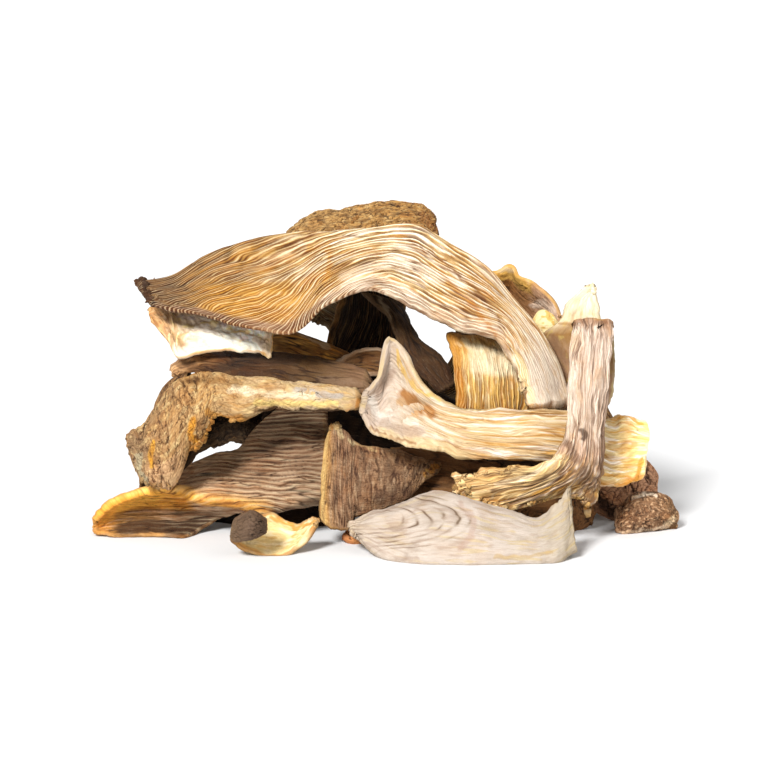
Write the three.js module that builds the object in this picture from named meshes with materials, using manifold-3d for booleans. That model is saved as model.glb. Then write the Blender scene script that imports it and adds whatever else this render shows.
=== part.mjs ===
// A bunch of dried oyster mushrooms: caps, fans, stems and slices that lie heaped on a flat surface.
// Every piece is one thin curved body. It is laid out as it is seen from the front: x to the right,
// h upwards and y away from the viewer, all in millimetres. The point function turns that into the
// bunch's own frame, with z upwards.
import * as THREE from "three";
import { mergeVertices } from "three/addons/utils/BufferGeometryUtils.js";
import Module from "manifold-3d";

const wasm = await Module();
wasm.setup();

// The viewer's place, from which the layout of the heap was taken.
const SIGHT_ANGLE = THREE.MathUtils.degToRad(10);
const SIGHT_DISTANCE = 1000;
const SIGHT_HEIGHT = 36;
// The middle of the heap's box in the layout, which becomes the origin.
const MIDDLE_X = 0.5;
const MIDDLE_Y = 2.1;
// The least thickness of a dried blade at its edge.
const EDGE_THICKNESS = 0.7;

const UP = new THREE.Vector3(0, 0, 1);
const EYE = new THREE.Vector3(
  0,
  -SIGHT_DISTANCE * Math.cos(SIGHT_ANGLE),
  SIGHT_HEIGHT + SIGHT_DISTANCE * Math.sin(SIGHT_ANGLE),
);

// The point that is seen at x, h and lies at depth y.
function point([x, h, y]) {
  const seen = new THREE.Vector3(
    x,
    h * Math.sin(SIGHT_ANGLE),
    SIGHT_HEIGHT + h * Math.cos(SIGHT_ANGLE),
  );
  const share = (y - EYE.y) / (seen.y - EYE.y);
  return EYE.clone().lerp(seen, share);
}

// A row across a blade from its upper edge to its lower edge, with the middle standing out towards
// the viewer by the belly.
function across([x1, h1, y1, x2, h2, y2, belly]) {
  return [0, 0.25, 0.5, 0.75, 1].map((s) => [
    x1 + (x2 - x1) * s,
    h1 + (h2 - h1) * s,
    y1 + (y2 - y1) * s - belly * 4 * s * (1 - s),
  ]);
}

// The value at share t of a list that runs evenly from its first to its last item.
function along(list, t) {
  if (typeof list === "number") return list;
  const place = t * (list.length - 1);
  const i = Math.min(Math.floor(place), list.length - 2);
  return THREE.MathUtils.lerp(list[i], list[i + 1], place - i);
}

// A smooth surface through a grid of points.
function surface(grid) {
  const rows = grid.map(
    (row) => new THREE.CatmullRomCurve3(row, false, "centripetal"),
  );
  return (u, v) => {
    const column = new THREE.CatmullRomCurve3(
      rows.map((row) => row.getPoint(v)),
      false,
      "centripetal",
    );
    return column.getPoint(u);
  };
}

// How far the ribs or gills stand out at u, v. They run along the piece, or across it.
function ribHeight(ribs, u, v) {
  const t = ribs.across ? u : v;
  const phase = t * ribs.count;
  const saw = 1 - Math.abs(2 * (phase - Math.floor(phase)) - 1);
  return ribs.depth * (saw - 0.5);
}

// Low crumpling of a dried skin.
function crumple(u, v, seed) {
  return (
    0.5 * Math.sin(9 * u + 13 * v + seed) +
    0.3 * Math.sin(23 * u - 7 * v + 2 * seed) +
    0.2 * Math.sin(17 * u + 31 * v + 3 * seed)
  );
}

// The closed body of a piece: its front and back faces and the narrow rim between them.
function body(piece) {
  const [nu, nv] = piece.steps;
  const turn = piece.behind ? Math.PI : 0;
  const grid = piece.rows.map((row) =>
    (typeof row[0] === "number" ? across(row) : row).map((place) =>
      point(place),
    ),
  );
  if (piece.rollTop)
    grid.forEach((row, i) => {
      const [back, down] = piece.rollTop;
      const share = along(piece.rollShare ?? 1, i / (grid.length - 1));
      const end = row[0].clone();
      end.y += back * share;
      end.z -= down * share;
      row.unshift(end);
    });
  if (piece.rollLow)
    grid.forEach((row) => {
      const [back, down] = piece.rollLow;
      const end = row[row.length - 1].clone();
      end.y += back;
      end.z -= down;
      row.push(end);
    });
  grid.flat().forEach((place) => place.applyAxisAngle(UP, turn));
  const sheet = surface(grid);
  const step = 0.01;
  const front = [];
  const back = [];
  for (let i = 0; i <= nu; i++)
    for (let j = 0; j <= nv; j++) {
      const u = i / nu;
      const v = j / nv;
      const middle = sheet(u, v);
      const alongU = sheet(Math.min(1, u + step), v).sub(
        sheet(Math.max(0, u - step), v),
      );
      const alongV = sheet(u, Math.min(1, v + step)).sub(
        sheet(u, Math.max(0, v - step)),
      );
      const normal = alongV.clone().cross(alongU).normalize();
      const edge = Math.abs(2 * v - 1);
      const full = along(piece.thick, u);
      const section = Math.pow(1 - Math.pow(edge, piece.round ?? 6), 0.5);
      const half = (EDGE_THICKNESS + (full - EDGE_THICKNESS) * section) / 2;
      const inside = 1 - Math.pow(edge, 8);
      const ruffle =
        (piece.ruffle ?? 0) *
        edge *
        edge *
        Math.sin((piece.ruffles ?? 3) * 2 * Math.PI * u + 2 * v);
      const relief = piece.ribs ? ribHeight(piece.ribs, u, v) * inside : 0;
      const skin = (piece.skin ?? 0) * crumple(u, v, piece.rows.length) * inside;
      const onFront = piece.ribs && piece.ribs.side !== -1 ? relief : 0;
      const onBack = piece.ribs && piece.ribs.side === -1 ? relief : 0;
      middle.addScaledVector(normal, ruffle + skin);
      front.push(middle.clone().addScaledVector(normal, half + onFront));
      back.push(middle.clone().addScaledVector(normal, -half - onBack));
    }
  const positions = [...front, ...back].flatMap((p) => [p.x, p.y, p.z]);
  const at = (i, j) => i * (nv + 1) + j;
  const under = front.length;
  const index = [];
  for (let i = 0; i < nu; i++)
    for (let j = 0; j < nv; j++) {
      const [a, b, c, d] = [at(i, j), at(i + 1, j), at(i + 1, j + 1), at(i, j + 1)];
      index.push(a, d, c, a, c, b);
      index.push(under + a, under + c, under + d, under + a, under + b, under + c);
    }
  const rim = [];
  for (let j = 0; j < nv; j++) rim.push(at(0, j));
  for (let i = 0; i < nu; i++) rim.push(at(i, nv));
  for (let j = nv; j > 0; j--) rim.push(at(nu, j));
  for (let i = nu; i > 0; i--) rim.push(at(i, 0));
  rim.forEach((a, k) => {
    const b = rim[(k + 1) % rim.length];
    index.push(a, under + a, under + b, a, under + b, b);
  });
  return { positions, index };
}

function solid({ positions, index }) {
  return new wasm.Manifold(
    new wasm.Mesh({
      numProp: 3,
      vertProperties: new Float32Array(positions),
      triVerts: new Uint32Array(index),
    }),
  );
}

const PIECES = {
  bridge_fan: {
    colour: 0xc79a5c,
    steps: [26, 14],
    thick: [2, 2.2, 2.4, 3, 3.6, 4, 3.6, 3.2],
    ribs: { count: 8, depth: 1 },
    rollTop: [9, 7],
    rollShare: [0.3, 0.7, 1, 1, 1, 0.7, 0.5],
    rows: [
      [-61, 25, -6, -58, 19.5, -12, 0],
      [-53, 26, -3, -51.5, 18.3, -16, 1],
      [-44.8, 30.8, -1, -43.5, 16.8, -20, 2],
      [-34.8, 34.6, 2, -34, 14, -24, 3],
      [-23.5, 36.6, 5, -22.3, 13, -27, 3],
      [-13.5, 36.8, 6, -14.8, 19.3, -24, 3],
      [-2.3, 37.6, 6, -3.5, 23.8, -19, 4],
      [7.8, 38.2, 4, 4, 20.8, -18, 4],
      [15.3, 33.8, 1, 11.5, 16.8, -18, 4],
      [24, 28.4, -3, 20.3, 13, -20, 3],
      [31, 20.3, -6, 28.5, 11, -21, 2],
      [37.8, 12.3, -10, 32, 5.3, -23, 2],
      [42, 4.8, -14, 34.3, -0.3, -24, 2],
      [45.5, -4.6, -17, 35.8, -5, -24, 2],
    ],
  },
  crown_cap: {
    colour: 0xa8793f,
    steps: [12, 8],
    thick: 2.6,
    skin: 0.9,
    rows: [
      [[-26, 29, 31], [-25, 33, 26], [-23.6, 36.8, 20], [-23.8, 36, 17], [-23.5, 34.5, 15]],
      [[-21, 28, 38], [-19, 36, 31], [-17.6, 41.6, 23], [-18, 39.2, 18], [-18, 36, 14]],
      [[-12, 25, 43], [-10, 36, 36], [-9.8, 42.7, 25], [-9.8, 40.6, 19], [-9.8, 36.5, 14]],
      [[-2, 28, 42], [-1, 37.5, 35], [-1.5, 43.9, 25], [-1.5, 41.4, 19], [-1.5, 37.5, 14]],
      [[9, 32, 37], [9, 38.5, 32], [8.5, 43.9, 25], [9, 42, 19], [9, 39, 13]],
      [[14, 34, 31], [13, 37.5, 27], [11.6, 41.4, 22], [12.2, 40.1, 17], [12.7, 37, 13]],
    ],
  },
  pale_fan_left: {
    colour: 0xd9b683,
    steps: [16, 6],
    thick: 1.8,
    ribs: { count: 8, depth: 0.8, across: true },
    rows: [
      [-58.5, 19, 2, -58, 15.5, -2, 0],
      [-54.8, 19.8, 2, -54, 11, -8, 1],
      [-51, 19.8, 2, -51.5, 6.5, -11, 2],
      [-44.8, 19, 1, -44.8, 8.3, -12, 2],
      [-37.3, 18, 0, -37.3, 8.3, -12, 2],
      [-31.5, 16.5, -1, -31.5, 8.3, -11, 2],
      [-28, 13.5, -3, -29, 6.6, -11, 1],
    ],
  },
  olive_roll: {
    colour: 0x6d4c22,
    steps: [8, 6],
    thick: 1.8,
    rollTop: [5, 3],
    rows: [
      [-30.5, 13.3, 6, -30.5, 8, 4, 1],
      [-24.8, 13, 3, -24.8, 8, 0.5, 2],
      [-18.5, 11, 3, -18.5, 6.4, -1, 2],
      [-13.5, 8.8, 2, -14, 5, -0.5, 2],
      [-9.3, 6.8, 2, -11, 4.5, 0, 1],
    ],
  },
  dark_curl: {
    colour: 0x553719,
    steps: [8, 4],
    thick: 1.6,
    rows: [
      [-12.3, 4.6, -5, -11.5, 4, -5, 0],
      [-9, 7, -4, -8.5, 3, -5, -1],
      [-5.5, 8.5, -2, -5, 2, -5, -2],
      [-1, 8.8, -1, -1.5, 2, -5, -2],
      [2, 8, 0, 1.5, 3.5, -4, -1],
    ],
  },
  rolled_cap_left: {
    colour: 0x9b7248,
    steps: [14, 6],
    thick: [1.8, 2, 2.2, 3, 4, 4.5, 4.5],
    round: 3,
    rollTop: [8, 4],
    rollShare: [0.6, 1, 1, 0.3, 0.3, 0.3],
    rows: [
      [-52.8, 4.5, -4, -52.5, 2, -6, 1],
      [-48.5, 8, -3, -48.5, 2.8, -8, 3],
      [-44.3, 8.5, -3, -44.3, 2.5, -9, 3],
      [-39.8, 7.3, -4, -39.8, 1.5, -11, 3],
      [-36, 7, -5, -36, 0.5, -12, 3],
      [-28.5, 6.5, -6, -28.5, 0.3, -12, 3],
      [-21, 5.8, -7, -21, -1, -13, 3],
      [-13.5, 4, -9, -13.5, -1.5, -14, 3],
      [-4.8, 1.8, -12, -4.8, -2, -15, 2],
    ],
  },
  crumpled_cap_left: {
    colour: 0xb98d58,
    steps: [16, 10],
    thick: [1.6, 1.8, 2, 2.2, 2.6, 4, 4.6, 4.6, 4.4],
    round: 3,
    skin: 0.8,
    ribs: { count: 6, depth: 0.7 },
    rows: [
      [-64, -12.8, -12, -63.5, -17.3, -14, 1],
      [-60.3, -10, -14, -60.5, -24, -18, 2],
      [-56.8, -5, -16, -57.3, -25.8, -19, 4],
      [-53.5, -0.8, -17, -53, -25.5, -20, 6],
      [-50.3, 1.5, -18, -49, -17, -22, 6],
      [-46, 2.5, -18, -46, -15, -24, 5],
      [-42.3, 2.5, -18, -42.8, -8, -25, 3],
      [-36.5, 1, -19, -36, -8.5, -24, 3],
      [-28.5, 1, -20, -28.5, -5.8, -23, 2],
      [-21, -0.5, -21, -21, -5.3, -24, 2],
      [-13.5, -1, -22, -13.5, -5.8, -25, 2],
      [-6.8, -1.8, -23, -6.8, -6.3, -26, 1],
    ],
  },
  ribbed_gutter_cap: {
    colour: 0x7a5230,
    steps: [18, 16],
    thick: 1.8,
    ribs: { count: 10, depth: 0.8 },
    rows: [
      [[-71.8, -33, -6], [-72, -33.5, -8], [-72.3, -34.2, -13], [-72, -35, -11], [-72, -36, -11], [-72.3, -37, -14]],
      [[-68, -30.5, 0], [-68.3, -30, -4], [-68.5, -30.2, -13], [-68.3, -32.2, -10], [-68, -35.6, -9], [-68.5, -37.8, -15]],
      [[-61.8, -28.5, 3], [-62, -27.6, -2], [-62.3, -27.6, -13], [-62, -30.3, -7], [-61.8, -34.8, -6], [-62.3, -37.8, -15]],
      [[-54.8, -27.4, 4], [-55.5, -26.3, -2], [-56, -26.3, -12], [-55.8, -30.2, -5], [-55.8, -34.6, -4], [-56, -38, -15]],
      [[-48.5, -20.5, 4], [-49.3, -25.2, -3], [-50.5, -26.8, -13], [-50, -30.6, -6], [-50, -35, -5], [-50.5, -38.4, -16]],
      [[-42.3, -17.4, 4], [-44, -22, -4], [-45.3, -28.8, -15], [-45.3, -31, -10], [-45, -33, -8], [-44.8, -36, -10]],
      [[-37.3, -17, 2], [-37.3, -22.6, -7], [-37.3, -29.5, -18], [-37.3, -30.8, -14], [-37.3, -31.5, -10], [-37.3, -31.8, -7]],
      [[-31.5, -10.5, 1], [-30.5, -19.5, -9], [-30, -31.5, -20], [-30.5, -32, -16], [-30.5, -31.5, -12], [-30.5, -31.5, -9]],
      [[-23.5, -4.5, 0], [-23.5, -17.8, -10], [-23.5, -29.8, -19], [-23.5, -30.6, -15], [-23.5, -30.6, -11], [-23.5, -30.6, -8]],
      [[-14.8, -3.5, 0], [-14.8, -16.5, -9], [-14.8, -27.5, -14], [-14.8, -29, -11], [-14.8, -29.3, -8], [-14.8, -29.3, -5]],
    ],
  },
  lemon_cup: {
    colour: 0xe6cf9a,
    steps: [16, 6],
    thick: 1.6,
    rows: [
      [-29.6, -34, -40, -29.8, -37.2, -40.6, 1],
      [-32.8, -31.8, -41, -33.2, -39, -43, 3],
      [-36.3, -33.4, -39, -36.3, -39.5, -41, 1.5],
      [-37.4, -35.5, -36, -37.4, -39.3, -38, 0],
      [-34.5, -34, -32, -34.5, -41.3, -36.5, -1],
      [-28, -32.5, -29, -28, -43.3, -36, -3],
      [-22.8, -34.8, -29, -22.3, -41.5, -35, -3],
      [-19.5, -34.3, -30, -19.5, -39, -34, -2],
      [-16.8, -34.3, -31, -17, -35.3, -32, 0],
    ],
  },
  square_cap: {
    colour: 0x8a6242,
    steps: [16, 6],
    thick: 2.2,
    skin: 0.4,
    ribs: { count: 8, depth: 0.8, across: true },
    rows: [
      [-14.5, -14, -18, -15.5, -34, -24, 0],
      [-12, -9.8, -18, -12.8, -35.8, -25, 1],
      [-9.8, -11.5, -19, -9.3, -36.3, -25, 2],
      [-7.3, -14.5, -20, -7, -33.3, -25, 2],
      [-1, -16.3, -20, -1.5, -31.8, -25, 2],
      [7, -17.8, -19, 5.3, -29.3, -24, 1],
      [11, -19.3, -18, 8.5, -25, -21, 0],
      [14, -20.3, -17, 12, -21.8, -18, 0],
    ],
  },
  white_slice: {
    colour: 0xe9dccb,
    steps: [18, 7],
    thick: [1.6, 2, 2.4, 2.6, 2.6, 2.6, 2.4, 2.2, 1.8],
    rollLow: [7, 1],
    ribs: { count: 5, depth: 0.6, across: true },
    rows: [
      [-8.5, -34.5, -30, -8, -37, -31, 0],
      [-3, -32.3, -30, -3.5, -40.3, -36, 1],
      [4, -29.8, -31, 4, -44, -42, 2],
      [13.3, -26.8, -32, 9, -44.6, -44, 3],
      [22.8, -29, -33, 20.3, -44.6, -45, 3],
      [31, -31.8, -34, 29, -44.6, -45, 2],
      [38.5, -33.8, -35, 37.8, -44.3, -44, 2],
      [43.3, -29.8, -35, 43, -44, -43, 1],
      [46.3, -25.8, -34, 47.3, -41, -39, 0],
    ],
  },
  stem_crumb: {
    colour: 0xb9794a,
    steps: [4, 4],
    thick: [2.4, 3.6, 3.6, 2.4],
    round: 2,
    rows: [
      [-9.5, -36.9, -21.2, -9.5, -39.4, -21.2, 0],
      [-7.5, -36.6, -21.2, -7.5, -39.9, -21.2, 0.5],
      [-5.5, -36.8, -21.2, -5.5, -39.7, -21.2, 0.5],
      [-4, -37.2, -21.2, -4, -39, -21.2, 0],
    ],
  },
  cup_stem: {
    colour: 0xe3cba5,
    steps: [20, 10],
    thick: [1.8, 2, 2.2, 2.8, 4, 5.5, 6, 6, 6],
    round: 4,
    ribs: { count: 6, depth: 0.5 },
    rows: [
      [-4.5, -2, -29, -5.8, -7.5, -31, -1],
      [-1.5, 1.5, -28, -2.3, -12.3, -33, -4],
      [1, 11.5, -27, 1.5, -14, -34, -6],
      [5, 8.5, -27, 6, -15.3, -34, -6],
      [10, -0.5, -27, 11.5, -16.3, -33, -4],
      [19, -5.6, -26, 18.5, -18, -31, 0],
      [29, -6.6, -25, 29, -19, -29, 2],
      [39, -7, -23, 39, -19, -27, 3],
      [49, -7.5, -19, 47.8, -21, -24, 3],
      [55.3, -9, -15, 54, -25, -21, 2],
      [59.5, -8, -12, 59, -25.5, -18, 1],
      [64.3, -9.3, -9, 63.3, -24, -14, 1],
    ],
  },
  strap_fan: {
    colour: 0xab8468,
    steps: [16, 11],
    thick: [3, 3.4, 3.4, 3, 2.6, 2.2, 1.8],
    ribs: { count: 6, depth: 0.9 },
    rows: [
      [[57, 14.8, -14], [54.5, 15.3, -15], [52, 15.5, -16], [49.5, 15.3, -15], [47.3, 15, -14]],
      [[56.8, 9.8, -20], [54.3, 9.8, -22], [52, 9.8, -22], [49.5, 9.8, -22], [47, 9.8, -20]],
      [[55.8, 0, -27], [53.3, 0, -29], [51, 0, -29], [48.5, 0, -29], [46.3, 0, -27]],
      [[55, -10, -31], [52.5, -10, -33], [50.3, -10, -33], [48, -10, -33], [45.8, -10, -32]],
      [[54.8, -17.8, -32], [52, -17.8, -34], [49.3, -17.8, -35], [46.5, -17.3, -35], [43.8, -17, -34]],
      [[54.3, -22.8, -29], [51, -22, -31], [46.5, -21.5, -34], [42.3, -21, -35], [38.5, -20.5, -34]],
      [[53, -27.8, -25], [49, -25, -28], [41.5, -25.5, -31], [32.8, -25, -31], [29, -20.8, -31]],
      [[51, -33.8, -22], [47.5, -27.3, -26], [29, -30.8, -28], [18, -28.3, -28], [17, -23, -28]],
    ],
  },
  yellow_ribbed_cap: {
    colour: 0xc9973f,
    steps: [7, 14],
    thick: 2,
    ribs: { count: 7, depth: 0.8 },
    rows: [
      [36, 10, -8, 15.8, 12.5, -10, 2],
      [37, 5.3, -10, 17, 8, -12, 3],
      [37.5, 0, -12, 17.8, 2.3, -14, 3],
      [37.5, -6, -13, 18.5, -4.8, -16, 3],
      [37, -10, -13, 19, -9, -16, 2],
    ],
  },
  arch_strap: {
    colour: 0x6b4522,
    steps: [8, 4],
    thick: 1.8,
    rows: [
      [4.5, 20, 8, -5.5, 22.5, 4, 1],
      [7, 14.8, 6, 0.3, 17.5, 2, 1],
      [9, 10.5, 4, 3.3, 11, 0, 1],
      [14.5, 6, 1, 6.8, 4.5, -2, 1],
      [17.8, -0.3, -2, 13.5, -2, -4, 1],
    ],
  },
  right_curl: {
    colour: 0xa3743c,
    steps: [10, 6],
    thick: 1.8,
    ruffle: 0.5,
    rows: [
      [26.5, 28, 10, 29, 14, 12, -2],
      [31.5, 29.3, 9, 32.8, 10, 10, -5],
      [35, 26.3, 8, 36.5, 8, 8, -6],
      [40.3, 23.3, 6, 40.3, 6, 6, -5],
      [44, 17, 5, 43.5, 5, 5, -2],
    ],
  },
  small_lemon: {
    colour: 0xe8d494,
    steps: [4, 4],
    thick: 1.6,
    rows: [
      [36.8, 15, 3, 37, 11.5, 3, 0],
      [39, 18, 3, 39, 11.5, 2, 1],
      [42, 17.5, 3, 42, 11.5, 2, 1],
      [43.5, 15, 3, 43.3, 11.5, 3, 0],
    ],
  },
  spike_cap: {
    colour: 0xd8c299,
    steps: [10, 8],
    thick: 1.8,
    ribs: { count: 4, depth: 0.6 },
    rows: [
      [52.6, 24.4, -6, 50.8, 24.4, -6, 0],
      [53.5, 19.8, -6, 46, 20.3, -5, 1],
      [54.5, 16, -6, 44, 16, -4, 1],
      [57, 12, -6, 40, 12.4, -3, 1],
      [57, 6, -8, 40.8, 8, -6, 1],
      [57, 0, -10, 42.8, 3, -8, 1],
      [56, -5, -11, 45, -3, -10, 1],
    ],
  },
  right_rear_brown: {
    colour: 0x6b4a30,
    steps: [8, 6],
    thick: 1.8,
    skin: 0.5,
    rows: [
      [52.8, -24, 10, 52, -31, 8, 1],
      [59, -21.5, 10, 57.8, -34, 5, 2],
      [64, -18.3, 10, 64, -34, 5, 3],
      [67.8, -22.5, 10, 67.8, -29, 8, 1],
    ],
  },
  right_front_brown: {
    colour: 0x77553a,
    steps: [8, 6],
    thick: 2,
    skin: 0.5,
    rollTop: [4, 3],
    rows: [
      [58.3, -32.3, -8, 58.5, -37.2, -10, 1],
      [62, -28.8, -6, 62, -37.2, -10, 4],
      [66, -27.6, -5, 66, -36.4, -7, 5],
      [70.3, -29, -5, 70.3, -36, -5, 4],
      [72.8, -33, -4, 72.8, -35.8, -4, 1],
    ],
  },
  brown_mid: {
    colour: 0x6f4b2c,
    steps: [8, 6],
    thick: 1.8,
    rows: [
      [2, -16, -10, 2, -27.8, -14, 1],
      [14, -17, -11, 14, -29.5, -15, 2],
      [22.8, -18.5, -11, 22.8, -30, -15, 2],
      [30, -20, -9, 29, -30, -14, 1],
    ],
  },
  dark_pocket: {
    colour: 0x6a451f,
    steps: [8, 6],
    thick: 1.8,
    rows: [
      [29.5, -22, -20, 29, -35, -22, -2],
      [36.5, -22, -17, 36.5, -36.5, -22, -5],
      [44, -22, -13, 44, -37, -17, -5],
      [48.5, -24, -10, 47.5, -37.8, -7, -3],
      [52, -27, -9, 52, -35, -5, -1],
    ],
  },
  under_cap: {
    colour: 0x4a3020,
    steps: [10, 6],
    thick: 1.8,
    rows: [
      [-44, -31.5, 14, -44, -35.5, 4, 0],
      [-36, -29, 14, -36, -36, 1, 1],
      [-26, -28.5, 12, -26, -36.5, -1, 2],
      [-16, -28.5, 12, -16, -36.5, -1, 1],
      [-8, -30, 12, -8, -36, 2, 0],
    ],
  },
  back_fan: {
    colour: 0x9a7140,
    behind: true,
    steps: [12, 12],
    thick: [3, 2.6, 2.2, 2, 2, 1.8],
    ribs: { count: 6, depth: 0.8 },
    ruffle: 1,
    rows: [
      [[11.5, 31, -17], [8, 31.5, -20], [3.5, 31.5, -21], [-1, 31.5, -20], [-5, 31, -17]],
      [[12, 21, -19], [8, 21, -23], [3.5, 21, -24], [-1, 21, -23], [-4, 21, -19]],
      [[12.5, 8, -22], [8, 8, -27], [3.5, 8, -28], [-1, 8, -27], [-5, 8, -22]],
      [[18, -6, -27], [14.5, -5, -30], [8, -5, -31], [0, -5, -30], [-7, -6, -25]],
      [[27, -22, -31], [22, -21, -34], [10, -20, -37], [-2, -21, -35], [-11, -22, -28]],
      [[33, -41, -33], [28, -43, -37], [12, -43.5, -41], [-5, -42.5, -39], [-16, -40, -30]],
    ],
  },
  back_long_fan: {
    colour: 0xb98b52,
    behind: true,
    steps: [18, 10],
    thick: [1.8, 2, 2.2, 2.4, 3, 3.6, 4, 4, 3.6],
    ribs: { count: 5, depth: 0.8 },
    ruffle: 1,
    rows: [
      [-61, -24, -30, -58, -36, -33, 2],
      [-51, -8, -34, -52, -41.5, -41, 5],
      [-39, 1, -35, -42, -43.5, -44, 7],
      [-27, 5, -36, -29, -36, -46, 7],
      [-15, -11.5, -36, -16, -25, -45.5, 4],
      [-3, 2.5, -36, -3, -10, -43, 3],
      [10, 11, -34, 11, -1, -38, 2],
      [22, 17, -29, 23, 7, -33, 2],
      [34, 18, -23, 35, 9, -27, 2],
      [45, 15, -18, 45, 8, -21, 1],
    ],
  },
  back_top_fan: {
    colour: 0xc09a63,
    behind: true,
    steps: [10, 8],
    thick: 2,
    ruffle: 0.6,
    ribs: { count: 4, depth: 0.7, across: true },
    rows: [
      [-47, 8, -15, -46, 0.5, -13.5, 1],
      [-41, 14, -19, -41, 3.2, -16, 3],
      [-32, 18, -21, -33, 3.8, -17, 4],
      [-24, 20, -21, -25, 2, -18, 4],
      [-18.5, 20, -20, -20, -4, -19, 2],
    ],
  },
  back_cap_left: {
    colour: 0xa57c4c,
    behind: true,
    steps: [12, 8],
    thick: 2,
    skin: 0.4,
    ruffle: 1.2,
    ribs: { count: 4, depth: 0.8, across: true },
    rollTop: [3.5, 1],
    rows: [
      [21, 1, -13, 22, -34, -22, 3],
      [27, 5, -13, 27, -32, -24, 5],
      [34, 6, -14, 34, -24, -24, 5],
      [40, 5, -14, 41, -24, -23, 5],
      [46, 1, -13, 47.5, -25.5, -22.5, 5],
      [49, -6, -12, 56, -40.5, -23, 4],
    ],
  },
  back_cap_right: {
    colour: 0xb98f5c,
    behind: true,
    steps: [10, 8],
    thick: 2,
    skin: 0.9,
    ruffle: 1.2,
    rollTop: [4, 1],
    rows: [
      [-63, -22, -16, -65, -40, -17, 1],
      [-58, -14, -14, -60, -42, -22, 3],
      [-52, -4, -12, -52, -43, -27, 6],
      [-43, 1, -14, -42, -43, -30, 6],
      [-34, -1, -15, -33, -42.5, -29, 5],
      [-27, -8, -16, -27, -41.5, -26, 3],
    ],
  },
  back_slice: {
    colour: 0xe4d2b4,
    behind: true,
    steps: [14, 6],
    thick: 2,
    rollLow: [4, 1],
    ribs: { count: 4, depth: 0.6, across: true },
    rows: [
      [-16, -37, -44, -16, -43.5, -45, 1],
      [-8, -31, -45, -8, -45, -47.5, 2],
      [2, -29, -45, 2, -45.5, -48.2, 3],
      [12, -32, -44, 13, -45.3, -48, 2],
      [22, -39, -43, 22, -44.5, -45, 1],
    ],
  },
  back_stem: {
    colour: 0xd8bb8d,
    behind: true,
    steps: [10, 8],
    thick: [4, 6, 7, 7, 6],
    round: 2,
    rows: [
      [31, -38, -41, 31, -43, -41, 1],
      [39, -37, -39, 39, -43, -39, 2],
      [48, -36.4, -36, 48, -42.4, -36, 2],
      [57, -36.4, -31, 57, -41.4, -31, 1],
    ],
  },
  side_left_cap: {
    colour: 0x94683c,
    behind: true,
    steps: [10, 8],
    thick: 2,
    skin: 0.7,
    rows: [
      [[47, -16, -29], [52, -21, -30], [56, -28, -31], [59, -36, -30], [60, -42, -28]],
      [[49, -6, -21], [55, -11, -22], [59, -20, -23], [62, -31, -22], [63, -40.5, -20]],
      [[50.5, -1, -11], [56, -6, -12], [59, -15, -12], [61, -27, -12], [62, -38, -12]],
      [[50, -3, -4], [55, -8, -3], [58, -14, -2], [60, -20, -2], [61, -26, -3]],
    ],
  },
  inner_fan: {
    colour: 0x5d4024,
    steps: [10, 6],
    thick: 2,
    ruffle: 0.8,
    rows: [
      [-30, -5, 9, -28, -26, 15, 2],
      [-18, -1, 11, -18, -31, 17, 3],
      [-4, 0, 13, -4, -33, 20, 4],
      [10, -1, 13, 10, -33, 19, 3],
      [20, -5, 11, 20, -29, 16, 2],
    ],
  },
  inner_cap: {
    colour: 0x624326,
    steps: [10, 6],
    thick: 2,
    skin: 0.5,
    rows: [
      [23, -1, 3, 23, -30, 8, 2],
      [31, 2, 1, 31, -33, 8, 3],
      [40, 1, 0, 40, -33, 7, 3],
      [48, -6, 2, 48, -29, 5, 2],
    ],
  },
};

const cluster = new THREE.Group();
for (const [name, piece] of Object.entries(PIECES)) {
  const made = solid(body(piece)).trimByPlane([0, 0, 1], 0);
  const mesh = made.getMesh();
  const geometry = new THREE.BufferGeometry()
    .setAttribute(
      "position",
      new THREE.BufferAttribute(new Float32Array(mesh.vertProperties), 3),
    )
    .setIndex(new THREE.BufferAttribute(mesh.triVerts, 1))
    .translate(-MIDDLE_X, -MIDDLE_Y, 0);
  const material = new THREE.MeshStandardMaterial({
    color: piece.colour,
    roughness: 0.8,
    metalness: 0,
  });
  const node = new THREE.Mesh(mergeVertices(geometry, 1e-4), material);
  node.name = name;
  cluster.add(node);
}

export default cluster;
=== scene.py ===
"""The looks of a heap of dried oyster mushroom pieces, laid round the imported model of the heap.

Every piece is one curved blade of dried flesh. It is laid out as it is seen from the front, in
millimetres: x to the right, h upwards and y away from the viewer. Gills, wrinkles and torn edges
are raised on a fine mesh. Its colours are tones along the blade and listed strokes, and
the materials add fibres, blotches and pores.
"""
import math

import bmesh
import bpy
import numpy as np
from bpy.props import FloatProperty, FloatVectorProperty, PointerProperty
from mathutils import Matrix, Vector


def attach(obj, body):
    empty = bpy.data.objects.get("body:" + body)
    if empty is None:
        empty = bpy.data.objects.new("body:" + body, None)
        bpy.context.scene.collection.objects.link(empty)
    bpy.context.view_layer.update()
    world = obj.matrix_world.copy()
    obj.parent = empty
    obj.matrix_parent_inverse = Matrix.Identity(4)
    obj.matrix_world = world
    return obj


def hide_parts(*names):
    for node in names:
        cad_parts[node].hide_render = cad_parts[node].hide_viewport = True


bl_info = {
    "name": "Dried oyster mushroom heap",
    "version": (1, 0, 0),
    "blender": (4, 5, 0),
    "location": "3D View > Sidebar > Mushrooms",
    "description": "Builds a heap of dried oyster mushroom pieces round its packed model",
    "category": "Add Mesh",
}

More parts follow.
